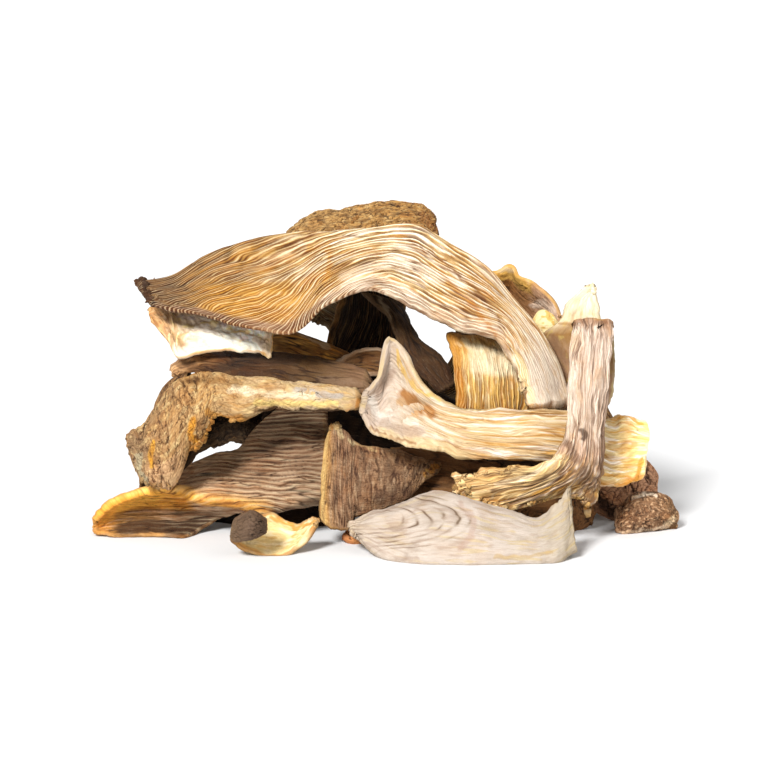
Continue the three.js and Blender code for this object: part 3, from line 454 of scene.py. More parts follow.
# How each piece looks. A value along the blade is one number or a list that is spread evenly over it.
# Mesh: how many faces along and across. Light and dark: the tones on the crests and the darker tones in
# the grooves, creases and hollows, which are painted shade. Shade: how much lighter or darker the piece
# is drawn, partly its own tone and partly painted light and shade where the heap shades it or light falls
# on it; shade front and shade back do this for one face. Relief: what raises the skin, in millimetres,
# and the painted shade in its grooves. Level: its fibres and cracks run level as seen from the front, not
# along the blade. Fan and sweep: how the gills and streaks spread and bend across the blade. Crest: a
# painted highlight on top of the gills, its colour and its strength. Streaks: colour, strength, length and
# width in millimetres, and the share of the blade that they take up. Bands: colour, strength, and reach
# across and along the blade; some are painted light and painted shade. Strokes: colour, strength, width
# in millimetres and a path of x, h places as seen from the front; some are painted highlights and painted
# shade. Rim: the colour of the edge and how far it reaches in. Ragged: how far the rim is torn. Curl: how
# far it bends up and down. Crumbs: colours, count, size, and the part of the blade that they are strewn
# over. Cracks: how often they come in a millimetre along and across, their width and their strength.
# Crack reach: how strong they are along the blade. Valley: the heights between which the fine gill lines
# darken, as painted shade. Grain: the strength of the fibres, the pores and the blotches.
LOOKS = {
    "bridge_fan": {
        "mesh": (305, 148),
        "light": "6f4c2a a87f4a d0a354 eecf90 f8e6b8 eccc90 e4c084 e8d0aa e0d0c4",
        "dark": "24140a 2e1a0b 3a210c 553212 7d5120 94652a 94652a 9c7444 b8a48c",
        "light_back": "6b4a2c 8a6238 9a7242 a88050 a3814f 9a7a4c",
        "dark_back": "2a180d 3d2412 4a2f18 54381c",
        "fan": [0.25, 0.35, 0.5, 0.78, 1, 1, 1, 1, 1],
        "relief": [
            ("gills", {"count": 28, "depth": [0.42, 0.42, 0.42, 0.42, 0.42, 0.42, 0.34, 0.14, 0.03],
                       "waver": 0.8, "thin": 1.4, "seed": 3,
                       "forks": [2, 1.8, 1.5, 1, 0.5, 0.3, 0.2, 0, 0],
                       "lines": [1.2, 1.5, 1.5, 1.35, 1.0, 0.8, 0.6, 0.2, 0],
                       "dark": [0.4, 0.4, 0.4, 0.6, 0.7, 0.7, 0.6, 0.2, 0.05]}),
            ("wrinkles", {"size": 2.4, "depth": [0.45, 0.45, 0.45, 0.45, 0.42, 0.38, 0.3, 0.1],
                          "stretch": 7, "width": 0.22, "seed": 11,
                          "dark": [0.4, 0.5, 0.5, 0.7, 0.9, 0.9, 0.8, 0.6, 0.1]}),
        ],
        # A painted highlight on the tops of the gills.
        "crest": ("fffaea", [0, 0, 0.15, 0.6, 0.9, 0.8, 0.65, 0.6, 0.3]),
        "streaks": [
            ("fffaf0", [0, 0, 0.15, 0.6, 0.9, 0.95, 0.95, 0.8, 0.7], 12, 1.6, 0.34),
            ("cf9433", [0.3, 0.5, 0.6, 0.75, 0.8, 0.75, 0.75, 0.6, 0.1], 10, 0.9, 0.2),
            ("8a6034", [0.6, 0.6, 0.6, 0.5, 0.4, 0.3, 0.3, 0.3, 0], 9, 0.5, 0.12),
        ],
        "bands": [
            ("dba23a", 0.75, 0.62, 0.92, 0.14, 0.42),
            ("9a7860", 0.95, 0.94, 1, 0, 0.42),
            ("7d4f22", 0.85, 0, 0.05, 0.02, 0.55),
            ("f0e2d4", 0.9, 0.88, 1, 0.4, 0.78),
            ("d8a240", 0.85, 0, 0.06, 0.62, 0.96),
            ("d8cac2", 0.9, 0.3, 0.84, 0.86, 0.99),
            ("ecd9a0", 0.8, 0.84, 1, 0.84, 1),
        ],
        "crumbs": [
            ("3a2413 4a2f1a 5f4028", 14, 1.0, 0, 0.012, 0.1, 0.9),
            ("8a6a4c a58763", 8, 0.5, 0.01, 0.04, 0.15, 0.9),
        ],
        "rim": ("8a5a2c", 0.6),
        "ragged": 0.4,
        "shade": [0.95, 0.98, 1.08, 1.2, 1.18, 1.02, 0.96, 1.0, 1.04],
        "strokes": [
            ("2a170c", 0.95, 2.0, [(-61, 25), (-60.3, 22), (-58.6, 19.6)]),
            ("d9a038", 0.85, 0.9, [(-14.2, 34.2), (-13.5, 30.5), (-14.7, 25)]),
            ("e0b458", 0.6, 1.2, [(-19, 34), (-14, 33.4), (-9, 33)]),
            ("fdf8ee", 0.5, 1.8, [(-10, 27), (-3, 29.5), (4, 31), (14, 26)]),
            ("8a5a24", 0.8, 0.6, [(6, 36), (16, 30), (24, 22), (30, 14)]),
            ("c9892c", 0.7, 0.8, [(14, 28), (22, 20), (28, 12)]),
            ("d9a23c", 0.9, 0.7, [(33, -5.4), (40, -5.6), (45.5, -5)]),
        ],
    },
    "crown_cap": {
        "mesh": (205, 200),
        "shade": 0.9,
        "cracks": (0.35, 0.5, 0.04, 0.9),
        "light": "cfa86c d6ae70 d3a766 c99b58 b98a4a",
        "dark": "5a3d1f 5f4021 573918 4f3216",
        "relief": [
            ("net", {"size": 1.15, "depth": 0.42, "stretch": 1.9, "width": 0.34, "dark": 0.95, "seed": 5}),
            ("wrinkles", {"size": 1.5, "depth": 0.3, "stretch": 3, "seed": 6, "dark": 0.7}),
            ("crumple", {"size": 6, "depth": 0.7, "seed": 8}),
        ],
        "streaks": [("e3c58d", 0.75, 2.2, 0.9, 0.2), ("87602f", 0.6, 3, 1.2, 0.22)],
        "crumbs": [("c99c5c b3854a a0743c dcb577", 60, 0.55, 0.05, 0.97, 0.72, 0.98)],
        "rim": ("8a5c2c", 0.8),
        "strokes": [
            # The first stroke is a painted shadow along its lower edge.
            ("5f3f1f", 0.75, 1.0, [(-23, 35.4), (-10, 37.6), (3, 38), (12, 38.2)]),
            ("8a4f1f", 0.5, 2, [(10, 42), (12.5, 39)]),
        ],
    },
    "pale_fan_left": {
        "mesh": (150, 80),
        "light": "dba974 e6bf90 efdabb f6f0e8 f8f4f0 f4efe6 e0d4bc",
        "dark": "a8744a a67a50 b89a74 c9bba6 b5a284 8f7650",
        "relief": [
            ("gills", {"count": 9, "depth": 0.35, "waver": 1.0, "across": True, "seed": 2, "dark": 0.7,
                       "forks": 1, "lines": [0.5, 0.4, 0.2, 0], "window": (0.0, 0.35)}),
            ("crumple", {"size": 3, "depth": 0.6, "seed": 4}),
            ("wrinkles", {"size": 1.8, "depth": 0.35, "stretch": 2.5, "slant": 60, "dark": 0.5, "seed": 5}),
        ],
        "streaks": [
            ("e9d58f", [0.2, 0.5, 0.8, 0.8, 0.5], 3.5, 1.6, 0.2),
            ("c3bccd", [0, 0.3, 0.8, 0.6, 0], 4, 2, 0.14),
        ],
        # The grey band at its right end is painted shade.
        "bands": [("ece8e2", 0.9, 0.82, 1, 0.3, 0.86), ("b09a84", 0.6, 0.3, 1, 0.9, 1)],
        "rim": ("c99a4c", 0.5),
        "grain": (0.2, 0.1, 0.2),
        # Painted light: drawn lighter against the shadow that the bridge casts on it.
        "shade": [1.2, 1.2, 1.3, 1.8, 2.0],
        "strokes": [
            ("fbf8f4", 0.85, 2.2, [(-45, 13), (-38, 11.2)]),
            # Painted shade at its right end.
            ("9a8b78", 0.7, 1.6, [(-31.5, 11), (-29, 9)]),
        ],
    },
    "olive_roll": {
        "mesh": (110, 70),
        "light": "86683f 8f6d38 8a6430 6f4d26",
        "dark": "3a2812 3a2610",
        "relief": [("wrinkles", {"size": 1.8, "depth": 0.4, "seed": 6})],
        "streaks": [("b98a40", 0.7, 6, 1.2, 0.25)],
        "rim": ("a08055", 0.6),
        "shade": 1.9,
        "strokes": [
            ("a39078", 0.8, 0.9, [(-29, 13), (-22, 13.2), (-14, 9)]),
            ("5f421f", 0.6, 1.6, [(-26, 9), (-16, 8)]),
        ],
        "shade_back": 0.5,
    },
    "dark_curl": {
        "mesh": (70, 44),
        "light": "8a6a4c 7d5a34 6d4a28",
        "dark": "2a190c 2e1a0d",
        "relief": [("wrinkles", {"size": 1.6, "depth": 0.3, "seed": 7})],
        "rim": ("c4b09c", 0.5),
    },
    "rolled_cap_left": {
        "mesh": (220, 80),
        "light": "c4a078 946a3e 7a4a1e 7a4c20 8f6232 a07848 b0886a",
        "dark": "4a321f 503521 644833 7d624c 8f7765",
        "relief": [
            ("wrinkles", {"size": 2.2, "depth": 0.4, "stretch": 6, "seed": 9,
                          "dark": [0.9, 0.9, 0.6, 0.25, 0.15]}),
            ("crumple", {"size": 5, "depth": 0.4, "seed": 12}),
        ],
        "streaks": [
            ("a8845a", [0.6, 0.5, 0.4, 0.4], 7, 1.0, 0.2),
            ("6f4f34", [0.6, 0.6, 0.3, 0.1], 8, 0.9, 0.25),
        ],
        "rim": ("b2946e", 0.5),
        "cracks": (0.06, 0.5, 0.035, 0.8),
        # Painted shade: its middle drawn dark where the olive roll shades it.
        "shade": [1.7, 1.3, 0.6, 0.36, 0.32, 0.36, 0.6],
        "grain": (0.22, 0.2, 0.2),
        "strokes": [
            ("5a3f28", 0.65, 1.5, [(-51, 5), (-42, 3.2), (-37, 5)]),
            ("54371f", 0.6, 1.6, [(-38, 5), (-30, 6.4), (-22, 5.6)]),
            ("b8977a", 0.6, 1.4, [(-16, 1.2), (-10, 0.6), (-5, 0)]),
        ],
    },
    "crumpled_cap_left": {
        "mesh": (260, 150),
        "light": "a88c6c ad8c64 b8956a c09a68 cba672 d3b486 d8bf98 d6c1a2 d4be9a",
        "dark": "634828 6b4822 6b4722 7a5228 8f6834 ad8a52 b59868",
        "relief": [
            ("net", {"size": 1.0, "depth": 0.34, "stretch": 1.5, "slant": 60, "width": 0.3,
                     "dark": [0.8, 0.8, 0.8, 0.5, 0.2, 0.1], "seed": 15}),
            ("wrinkles", {"size": 3.2, "depth": 0.7, "stretch": 2.5, "slant": 50, "width": 0.16,
                          "seed": 16, "dark": [1, 1, 0.9, 0.4, 0.15]}),
        ],
        "streaks": [
            ("e3cb98", [0.6, 0.6, 0.7, 0.8, 0.8], 4, 1.2, 0.24),
            ("d59a38", [0, 0.1, 0.3, 0.4, 0.4], 8, 1.0, 0.14),
        ],
        "bands": [
            ("cf9236", 0.85, 0.9, 1, 0.36, 0.66),
            ("4a2f18", 0.95, 0.84, 1, 0.68, 0.97),
            ("6b4420", 0.6, 0.64, 0.76, 0.42, 0.5),
            ("e0b890", 0.6, 0.72, 1, 0.14, 0.32),
        ],
        "crumbs": [
            ("c9984e b58440 d9b272 94682f", 26, 1.0, 0.4, 0.62, 0.93, 1),
            ("b9955f a37d4a", 16, 0.8, 0.02, 0.3, 0.93, 1),
        ],
        "rim": ("c08a3a", 0.6),
        "cracks": (0.4, 0.32, 0.035, 0.9),
        "crack_reach": [1, 1, 1, 0.8, 0.35, 0.1, 0],
        "ragged": [1, 1, 0.9, 0.6, 0.3],
        "shade": [1, 1, 1, 0.96, 0.9, 0.87, 0.87],
        "strokes": [
            ("e6b13c", 0.95, 0.8, [(-57.6, -14.5), (-58.6, -18), (-58, -20.5)]),
            ("8f7255", 0.6, 2.4, [(-62, -14), (-60, -17)]),
            ("b5b096", 0.75, 1.2, [(-61.5, -18), (-61.3, -22), (-59, -25)]),
            ("dd9c30", 0.95, 1.4, [(-47.5, -9), (-48.6, -12.5), (-46.6, -15)]),
            ("d09640", 0.8, 1.4, [(-44, -7), (-40, -10), (-36, -8.6)]),
            # Painted highlights along the top of the right arm.
            ("c7c1be", 0.9, 1.1, [(-22, -1.6), (-16, -2.4), (-11, -3)]),
            ("fbf1d6", 0.9, 1.3, [(-38, -1.4), (-28, -2.4), (-18, -3)]),
            ("f3dc8e", 0.8, 1.0, [(-32, -4.6), (-22, -5), (-12, -5)]),
            ("9a7442", 0.6, 1.2, [(-50, 0.6), (-44, 1.2), (-36, 0)]),
        ],
    },
    "ribbed_gutter_cap": {
        "mesh": (220, 215),
        "light": "cf9a4c c4924a b88e5c b08c6c b89474 bb9879 c09d80 bb987a",
        "dark": "4a2e14 3a2413 2a190d 22140c 22140c",
        "relief": [
            ("wrinkles", {"size": 2.1, "depth": 0.5, "stretch": 10, "width": 0.09, "level": True,
                          "seed": 22}),
            ("gills", {"count": 8.5, "depth": 0.1, "waver": 0.9, "level": True, "dark": 0.1, "thin": 5,
                       "seed": 27, "lines": [0, 0.1, 0.3, 0.7, 0.85, 0.85, 0.85]}),
            ("net", {"size": 1.3, "depth": 0.12, "stretch": 5, "width": 0.2, "dark": 0.25, "seed": 23}),
        ],
        "streaks": [("cdb096", 0.6, 10, 1.0, 0.25), ("6f523a", 0.3, 9, 0.8, 0.2)],
        "bands": [
            # The first band is painted light where the pieces above shade the top of the slope.
            ("dcb896", 0.8, -1, 0.12, 0.5, 1),
            ("7d583c", 0.55, 0.13, 0.26, 0.7, 1),
            ("e6c8aa", 0.7, 0.34, 0.5, 0.86, 1),
            ("c2a388", 0.7, 0.56, 0.9, 0.55, 1),
            ("e8b462", 0.95, 0.36, 0.44, 0.04, 0.8),
            ("f2b04c", 0.95, 0.44, 0.62, 0.0, 0.5),
            # These two dark bands are a painted shadow under the golden lip.
            ("4a2f18", 0.6, 0.6, 0.74, 0.1, 0.62),
            ("3d2919", 0.95, 0.76, 1, 0.12, 0.6),
            ("c28e3c", 0.85, 0.3, 0.7, 0, 0.1),
        ],
        "rim": ("a87f4c", 0.6),
        # Painted light: the lip drawn lighter where the crumpled cap shades it.
        "shade": [1.5, 1.7, 1.7, 1.3, 0.95, 0.78, 0.78],
        "level": True,
        "valley": (-0.6, -0.98),
        "cracks": (0.05, 0.6, 0.022, 0.9),
        "crack_reach": [0, 0.2, 0.9, 1, 1, 1, 1],
        "strokes": [
            ("dba342", 0.9, 1.0, [(-71, -32), (-66, -29.4), (-60, -27.6), (-54, -27), (-48, -28.5)]),
            ("c9933c", 0.85, 0.8, [(-46, -29.4), (-38, -30.6), (-30, -31.5)]),
            # Painted shadow on the top of the cap under the pieces above it.
            ("5a3d28", 0.6, 3, [(-33, -9), (-22, -8), (-14, -9)]),
            ("c9a88a", 0.5, 2.5, [(-46, -26), (-34, -27), (-20, -26)]),
        ],
    },
    "lemon_cup": {
        "mesh": (160, 80),
        "light": "6b5240 7a6250 8a7058 c9ab74 ecd79e f2e2b0 f3e6bd eed9a4",
        "dark": "3a281c 4a3522 7d6038 b8964f c7a55e",
        "relief": [
            ("wrinkles", {"size": 2.2, "depth": 0.25, "stretch": 3, "dark": 0.5, "seed": 25}),
            ("net", {"size": 1.2, "depth": [0.4, 0.3, 0.05, 0], "dark": [0.9, 0.6, 0, 0], "seed": 26}),
        ],
        "streaks": [("dda545", [0, 0, 0.5, 0.7], 4, 1.2, 0.2), ("f8f0d8", [0, 0, 0.5, 0.8], 5, 1.4, 0.22)],
        "rim": ("b5824a", 0.5),
        "grain": (0.2, 0.12, 0.25),
        "strokes": [
            # The first two strokes are painted shade and a painted highlight that round the brown knob.
            ("3f2e24", 0.9, 2.6, [(-33.5, -32.4), (-31.5, -34)]),
            ("a08a74", 0.8, 1.3, [(-37, -33), (-34.5, -31.8), (-32, -32)]),
            ("d89c3a", 0.8, 0.7, [(-28, -33), (-22, -36), (-17.5, -34.6)]),
            ("d39a44", 0.7, 0.8, [(-36, -40), (-31, -42.6), (-26, -43)]),
        ],
        "shade": 1.12,
        "shade_back": 0.65,
    },
    "square_cap": {
        "mesh": (230, 200),
        "light": "c9a066 ab8668 a58062 a88668 ab8764 ad8860",
        "dark": "6b4a30 664630 664630 664630",
        "relief": [
            ("net", {"size": 0.8, "depth": 0.26, "stretch": 0.5, "width": 0.32, "dark": 0.6, "seed": 31}),
            ("wrinkles", {"size": 0.9, "depth": 0.34, "stretch": 5, "slant": 90, "width": 0.4, "seed": 32}),
        ],
        "streaks": [("bca184", 0.7, 0.9, 4, 0.25), ("5a402c", 0.6, 1, 5, 0.25)],
        "bands": [("ecca86", 0.95, -1, 2, -0.1, 0.085), ("d99c3e", 0.8, -1, 2, 0.085, 0.1)],
        "crumbs": [
            ("e3cfa0 d0b27c c49a5c", 12, 0.75, 0.1, 0.2, 0, 0.04),
            ("d08f35 e0b060 a86f30", 12, 0.6, 0.86, 1, 0.1, 0.9),
        ],
        "rim": ("b48a54", 0.6),
        "shade": [0.92, 0.88, 0.84, 0.88, 1.0],
        "cracks": (1.2, 0.12, 0.03, 0.45),
        "strokes": [
            ("e3d0a6", 0.9, 1.0, [(-12, -10.4), (-10.5, -13)]),
            ("e3d0a6", 0.8, 0.6, [(-9, -14.2), (-5, -15.6), (-2, -16.6)]),
            ("d08f35", 0.8, 0.8, [(13, -20), (12, -22)]),
            ("4a3020", 0.5, 2.6, [(-1, -29), (5, -27)]),
        ],
    },
    "white_slice": {
        "mesh": (330, 140),
        "light": "efe0d0 eee2da eee3dd efe5e0 f0e6e2 f0e6e2 f0e6df eee3d6 ecdfca",
        "dark": "8f7358 927660 a08a74 b8a890 c4b69e c9b998",
        "relief": [
            ("rings", {"middle": (-2, -34.5), "flat": 3.3, "gap": 0.95, "reach": 7.8, "depth": 0.26,
                       "dark": 0.95, "seed": 34}),
            ("wrinkles", {"size": 2.6, "depth": 0.2, "stretch": 7, "seed": 36,
                          "dark": [0.5, 0.4, 0.3, 0.25, 0.2]}),
            ("crumple", {"size": 9, "depth": 0.5, "seed": 37}),
        ],
        "streaks": [
            ("efd9a0", [0.2, 0.3, 0.5, 0.6, 0.6], 9, 1.2, 0.16),
            ("cbb7ac", [0.6, 0.6, 0.5, 0.3, 0.2], 6, 1.6, 0.2),
        ],
        "rim": ("c2a884", 0.35),
        "shade": [0.7, 0.68, 0.66, 0.62, 0.58],
        "grain": (0.16, 0.08, 0.12),
        "strokes": [
            ("d3b5aa", 0.5, 1.2, [(19, -30), (22.5, -34), (22, -38), (19, -41)]),
            ("e3c58c", 0.6, 0.6, [(28, -43), (36, -43.2), (42, -42)]),
        ],
    },
    "stem_crumb": {
        "mesh": (40, 34),
        "light": "c08050 d09558",
        "dark": "7a4a26",
        "relief": [("crumple", {"size": 1.6, "depth": 0.3, "seed": 38})],
    },
    "cup_stem": {
        "mesh": (320, 150),
        "light": "d8c8be dccec6 ddd0c4 e2d2b8 e8d6b0 ead9b8 ebdab4 efdca6 f6e09c",
        "dark": "b09c8a b39f8a b08a58 b5863f bd8c3c cf9434",
        "relief": [
            ("dent", {"middle": (4, -8), "reach": (6.5, 5), "depth": 1.3}),
            # The dark shares of these dents are painted shade in the hollows.
            ("dent", {"middle": (9, -5.6), "reach": (5, 2.4), "depth": 1.4, "dark": 0.35}),
            ("dent", {"middle": (0.6, 1), "reach": (2.4, 4), "depth": 1.0, "dark": 0.2}),
            ("dent", {"middle": (4.6, 4), "reach": (1.2, 7), "depth": -0.7}),
            ("wrinkles", {"size": 2.0, "depth": [0.4, 0.4, 0.4, 0.4, 0.4, 0.35, 0.15], "stretch": 9,
                          "seed": 41, "dark": [0.1, 0.15, 0.5, 0.9, 0.9, 0.3]}),
            ("gills", {"count": 12, "depth": 0.2, "waver": 1.6, "seed": 42,
                       "dark": [0, 0, 0.3, 0.6, 0.6, 0.4], "forks": 1.3,
                       "lines": [0, 0, 0.3, 0.55, 0.5, 0.1]}),
        ],
        "streaks": [
            ("fffcf8", [0, 0, 0.4, 0.9, 0.95, 0.9, 0.45], 12, 1.3, 0.3),
            ("dda640", [0, 0, 0.3, 0.7, 0.8, 0.8, 0.45], 10, 0.8, 0.2),
            ("a57b48", [0, 0, 0.3, 0.5, 0.5, 0.3, 0.2], 9, 0.6, 0.14),
        ],
        "bands": [
            # The first band is a painted shadow along the lower edge.
            ("a87c4c", 0.6, 0.84, 1, 0.4, 0.5),
            ("ecd6a8", 0.7, 0.9, 1, 0.1, 0.5),
            ("cf9238", 0.8, 0.92, 1, 0.5, 0.85),
            ("e39d34", 0.9, 0.86, 1, 0.9, 1),
        ],
        "rim": ("e6cfa0", 0.35),
        # Painted light: the stem end drawn lighter where the strap shades it.
        "shade": [0.8, 0.84, 0.9, 0.95, 0.98, 1.02, 1.1, 1.35, 1.55],
        "grain": (0.2, 0.08, 0.15),
        "strokes": [
            # The first and seventh strokes are painted highlights on the bowl, the second is painted shade
            # at its left, and the fourth lays the orange-brown of the hollow, partly its colour and partly
            # painted shade.
            ("f4efec", 0.85, 1.5, [(-3, -4), (-2, -7), (1, -9)]),
            ("b39c8e", 0.7, 1.4, [(-1.5, -2), (1, 1), (2, 3)]),
            ("9a8a7a", 0.8, 0.9, [(0.5, 10.6), (2.5, 11)]),
            ("b07838", 0.95, 1.9, [(5, -2.6), (8, -5.0), (12, -7.2)]),
            ("d0a36a", 0.7, 1.4, [(4, -4.4), (8, -7.4)]),
            ("cbb8ac", 0.8, 1.6, [(0, -9.5), (4, -12), (9, -12)]),
            ("f6f0ec", 0.8, 1.2, [(1, -6.4), (4, -8.6), (8, -10)]),
            ("e9c878", 0.9, 0.6, [(3, 8), (5, 3), (8, -1.4), (14, -4)]),
            ("9a6a3c", 0.7, 0.6, [(-3.5, -11), (2, -13.6), (8, -14.6)]),
            ("e0a040", 0.9, 0.8, [(58, -25.4), (63, -25), (64.4, -19)]),
            ("e3a440", 0.85, 0.7, [(57, -8.6), (61, -7.8), (64.6, -10)]),
        ],
    },
    "strap_fan": {
        "mesh": (300, 145),
        "light": "c9aa92 e6d4ca e6d6cc decabc c9ab98 c4a27c dfc08a e6ca94",
        "dark": "6b4e3c 6f523f 725440 6f4f38 744e24 8f622c",
        "relief": [
            ("wrinkles", {"size": 1.8, "depth": 0.35, "stretch": 9, "width": 0.2, "seed": 46,
                          "dark": [0.5, 0.4, 0.6, 0.9, 0.9]}),
            ("gills", {"count": 14, "depth": 0.3, "waver": 1.5, "seed": 45, "thin": 2.4,
                       "dark": [0.3, 0.25, 0.4, 0.6, 0.9, 1, 1], "forks": 1.2,
                       "lines": [0.25, 0.25, 0.35, 0.5, 0.7, 0.8]}),
        ],
        "streaks": [
            ("fbf1ea", [0.8, 0.8, 0.8, 0.6, 0.7, 0.7], 12, 1.1, 0.3),
            ("82634e", [0.4, 0.35, 0.5, 0.8, 0.4, 0.2], 12, 0.8, 0.2),
            ("d9a84e", [0, 0, 0, 0.3, 0.9, 0.9], 10, 1.0, 0.26),
        ],
        "bands": [
            ("f1e6dc", 0.9, 0.8, 0.94, 0.06, 0.5),
            ("7d5f4c", 0.6, -1, 0.14, 0.3, 0.8),
            ("a9846a", 0.8, -1, 1, -0.1, 0.05),
            ("ead29c", 0.8, 0.7, 1, 0.6, 1),
        ],
        "crumbs": [
            ("d9b06a c0955a e9cf9c 94703f", 44, 0.75, 0.95, 1, 0.05, 1),
            ("d9b478 c09a60", 8, 0.5, 0.82, 0.95, 0.96, 1),
        ],
        "rim": ("c79f62", 0.6),
        "cracks": (0.04, 0.5, 0.035, 0.7),
        "shade": [1.08, 1.06, 1.06, 1.1, 1.2, 1.22, 1.25],
        "ragged": [0.5, 0.5, 0.5, 0.5, 0.7, 1, 2.4],
        "curl": [0.5, 0.5, 0.5, 0.5, 0.7, 1.2, 1.6],
        "strokes": [
            ("4f382c", 0.85, 0.9, [(49.2, -11.6), (50.6, -12.8), (49.8, -13.8)]),
            ("7d604d", 0.7, 1.6, [(46, -15), (48, -19)]),
            ("8d6f58", 0.7, 2.4, [(50, -22), (52, -31)]),
            ("f3ead0", 0.9, 0.8, [(28, -25), (36, -23.4), (44, -18)]),
            ("5f3f20", 0.8, 0.7, [(27, -26.8), (36, -25.6), (45, -21)]),
            ("6b4826", 0.7, 0.6, [(25, -23), (32, -21.6), (40, -17)]),
            ("eed9a8", 0.7, 0.8, [(26, -28.4), (36, -27.4), (43, -23)]),
        ],
    },
    "yellow_ribbed_cap": {
        "mesh": (150, 150),
        "light": "d0a860 ecca80 f3dba0 eec670 e6b656 dba648",
        "dark": "7d5226 946428 855720 8a5a22 9a6826",
        "relief": [
            ("gills", {"count": 17, "depth": [0.1, 0.15, 0.26, 0.32, 0.32], "waver": 1.2, "thin": 2.6,
                       "dark": [0.15, 0.2, 0.5, 0.9, 1, 0.9], "seed": 51, "forks": 1,
                       "lines": [0.1, 0.2, 0.6, 0.9, 0.9]}),
            ("crumple", {"size": 4, "depth": 0.4, "seed": 52}),
        ],
        "streaks": [
            ("f7ebc6", [0.5, 0.9, 0.8, 0.5, 0.4], 4, 1.6, 0.3),
            ("c08632", [0.5, 0.5, 0.6, 0.9, 0.9], 6, 1, 0.26),
        ],
        "bands": [
            ("f8eed0", 0.9, 0.16, 0.78, 0.12, 0.46),
            ("a57a48", 0.7, -1, 1, -0.1, 0.07),
            ("cf922f", 0.9, 0.9, 1, 0, 1),
        ],
        "crumbs": [("c98f35 e0b058 a8702c", 24, 0.6, 0.86, 1, 0.1, 0.95)],
        "strokes": [("c07f2c", 0.9, 1.1, [(31, -6), (34, -8.6)])],
    },
    "arch_strap": {
        "mesh": (120, 50),
        "light": "8f6f4c 7d5a30 7a5328 6b4620",
        "dark": "33200f 33200f",
        "relief": [("wrinkles", {"size": 2.0, "depth": 0.4, "stretch": 5, "seed": 55})],
        "rim": ("a8865c", 0.6),
        # Painted shade: drawn dark where the arch shades it.
        "shade": 0.42,
        "streaks": [("5a3b1c", 0.6, 6, 1.4, 0.3)],
        # The stroke is a painted highlight along its left edge.
        "strokes": [("d8c6a8", 0.85, 0.7, [(-2, 22.6), (0.6, 19), (2, 14)])],
    },
    "right_curl": {
        "mesh": (140, 90),
        "light": "a8722c 9a6832 a87c50 c9a78e d6b8a4",
        "dark": "5f4122 5a3c20 6b4c36",
        "relief": [
            ("wrinkles", {"size": 2.0, "depth": 0.35, "seed": 58, "dark": 0.8}),
            ("net", {"size": 1.4, "depth": 0.2, "seed": 59, "dark": 0.5}),
        ],
        "streaks": [("8a6238", 0.6, 5, 1.4, 0.3)],
        "bands": [("e6bd66", 0.95, -1, 0.12, 0, 0.6), ("d9a040", 0.85, 0.86, 1, 0, 1)],
        "rim": ("dcb26a", 0.45),
        "shade": 1.1,
        "strokes": [
            ("eed9b4", 0.8, 0.9, [(28, 28.4), (33, 28.6), (36, 25.6)]),
            # A painted highlight on its right side.
            ("e9d6c8", 0.8, 1.2, [(37, 19.4), (40, 20.4), (42, 18)]),
            ("805a3a", 0.5, 2.4, [(31, 22), (36, 18)]),
        ],
    },
    "small_lemon": {
        "mesh": (60, 50),
        "light": "efdca0 f4e8bd ecd084",
        "dark": "b08e4c c2a05b",
        "relief": [("crumple", {"size": 2.2, "depth": 0.35, "seed": 60})],
        "streaks": [("e3b450", 0.8, 2, 1, 0.25)],
        "grain": (0.15, 0.08, 0.15),
    },
    "spike_cap": {
        "mesh": (160, 90),
        "light": "fcf7ea faf4e4 f3e6c8 b88c50 b08658 c8a282 d2ae94",
        "dark": "c4ac7c c0a470 8a6848 7d5a42 8f6c55",
        "relief": [("wrinkles", {"size": 2.2, "depth": 0.3, "stretch": 5, "seed": 62, "dark": 0.5})],
        "streaks": [
            ("e8cf78", [0.3, 0.4, 0.6, 0.3, 0.2], 3, 1.4, 0.16),
            ("dcc3b0", [0, 0, 0, 0.4, 0.8], 5, 1.5, 0.25),
        ],
        "rim": ("ecd9a6", 0.4),
        "grain": (0.15, 0.08, 0.15),
        # Painted shade: the middle of the blade drawn darker where the cup's hollow lies in shadow.
        "shade": [1.1, 1.1, 1.0, 0.6, 0.6, 0.8, 0.9],
        "strokes": [
            ("b58c58", 0.7, 0.8, [(44, 15), (50, 14.4), (55, 14.6)]),
            ("8f6c50", 0.75, 2.6, [(42, 11), (44, 6), (45, 2)]),
            ("e6c96a", 0.7, 1.0, [(46.5, 1), (47, -4)]),
        ],
    },
    "right_rear_brown": {
        "mesh": (100, 90),
        "light": "8c6a54 9a7862 906e58",
        "dark": "2a1b14 33231a",
        "relief": [("net", {"size": 1.4, "depth": 0.4, "seed": 65})],
        "rim": ("94715a", 0.6),
        "shade": 2.9,
        "cracks": (0.4, 0.5, 0.04, 0.7),
        # The stroke is a painted shadow.
        "strokes": [("1f140e", 0.9, 2.2, [(53, -28), (57, -32), (60, -33)])],
    },
    "right_front_brown": {
        "mesh": (110, 90),
        "light": "77583f 7d5e45 7f603f",
        "dark": "3a281b 422d1e",
        "relief": [
            ("net", {"size": 1.1, "depth": 0.35, "seed": 67}),
            ("crumple", {"size": 4, "depth": 0.5, "seed": 68}),
        ],
        "streaks": [("bd9f80", 0.8, 0.9, 0.7, 0.2)],
        "rim": ("b2937a", 0.6),
        "shade": 1.5,
        "cracks": (0.5, 0.6, 0.04, 0.7),
        "strokes": [
            ("e9dccd", 0.9, 0.6, [(62, -28.6), (65, -27.4), (68, -28)]),
            ("ead9bd", 0.9, 1.0, [(72.5, -33.5), (70.5, -35.4)]),
            ("d6c3ae", 0.8, 0.6, [(59, -37), (66, -36.6), (71, -35.6)]),
        ],
    },
    "brown_mid": {
        "mesh": (110, 70),
        "light": "6f4e30 7a5836 735232",
        "dark": "2c1a0e 332011",
        "relief": [("wrinkles", {"size": 2.2, "depth": 0.5, "seed": 70})],
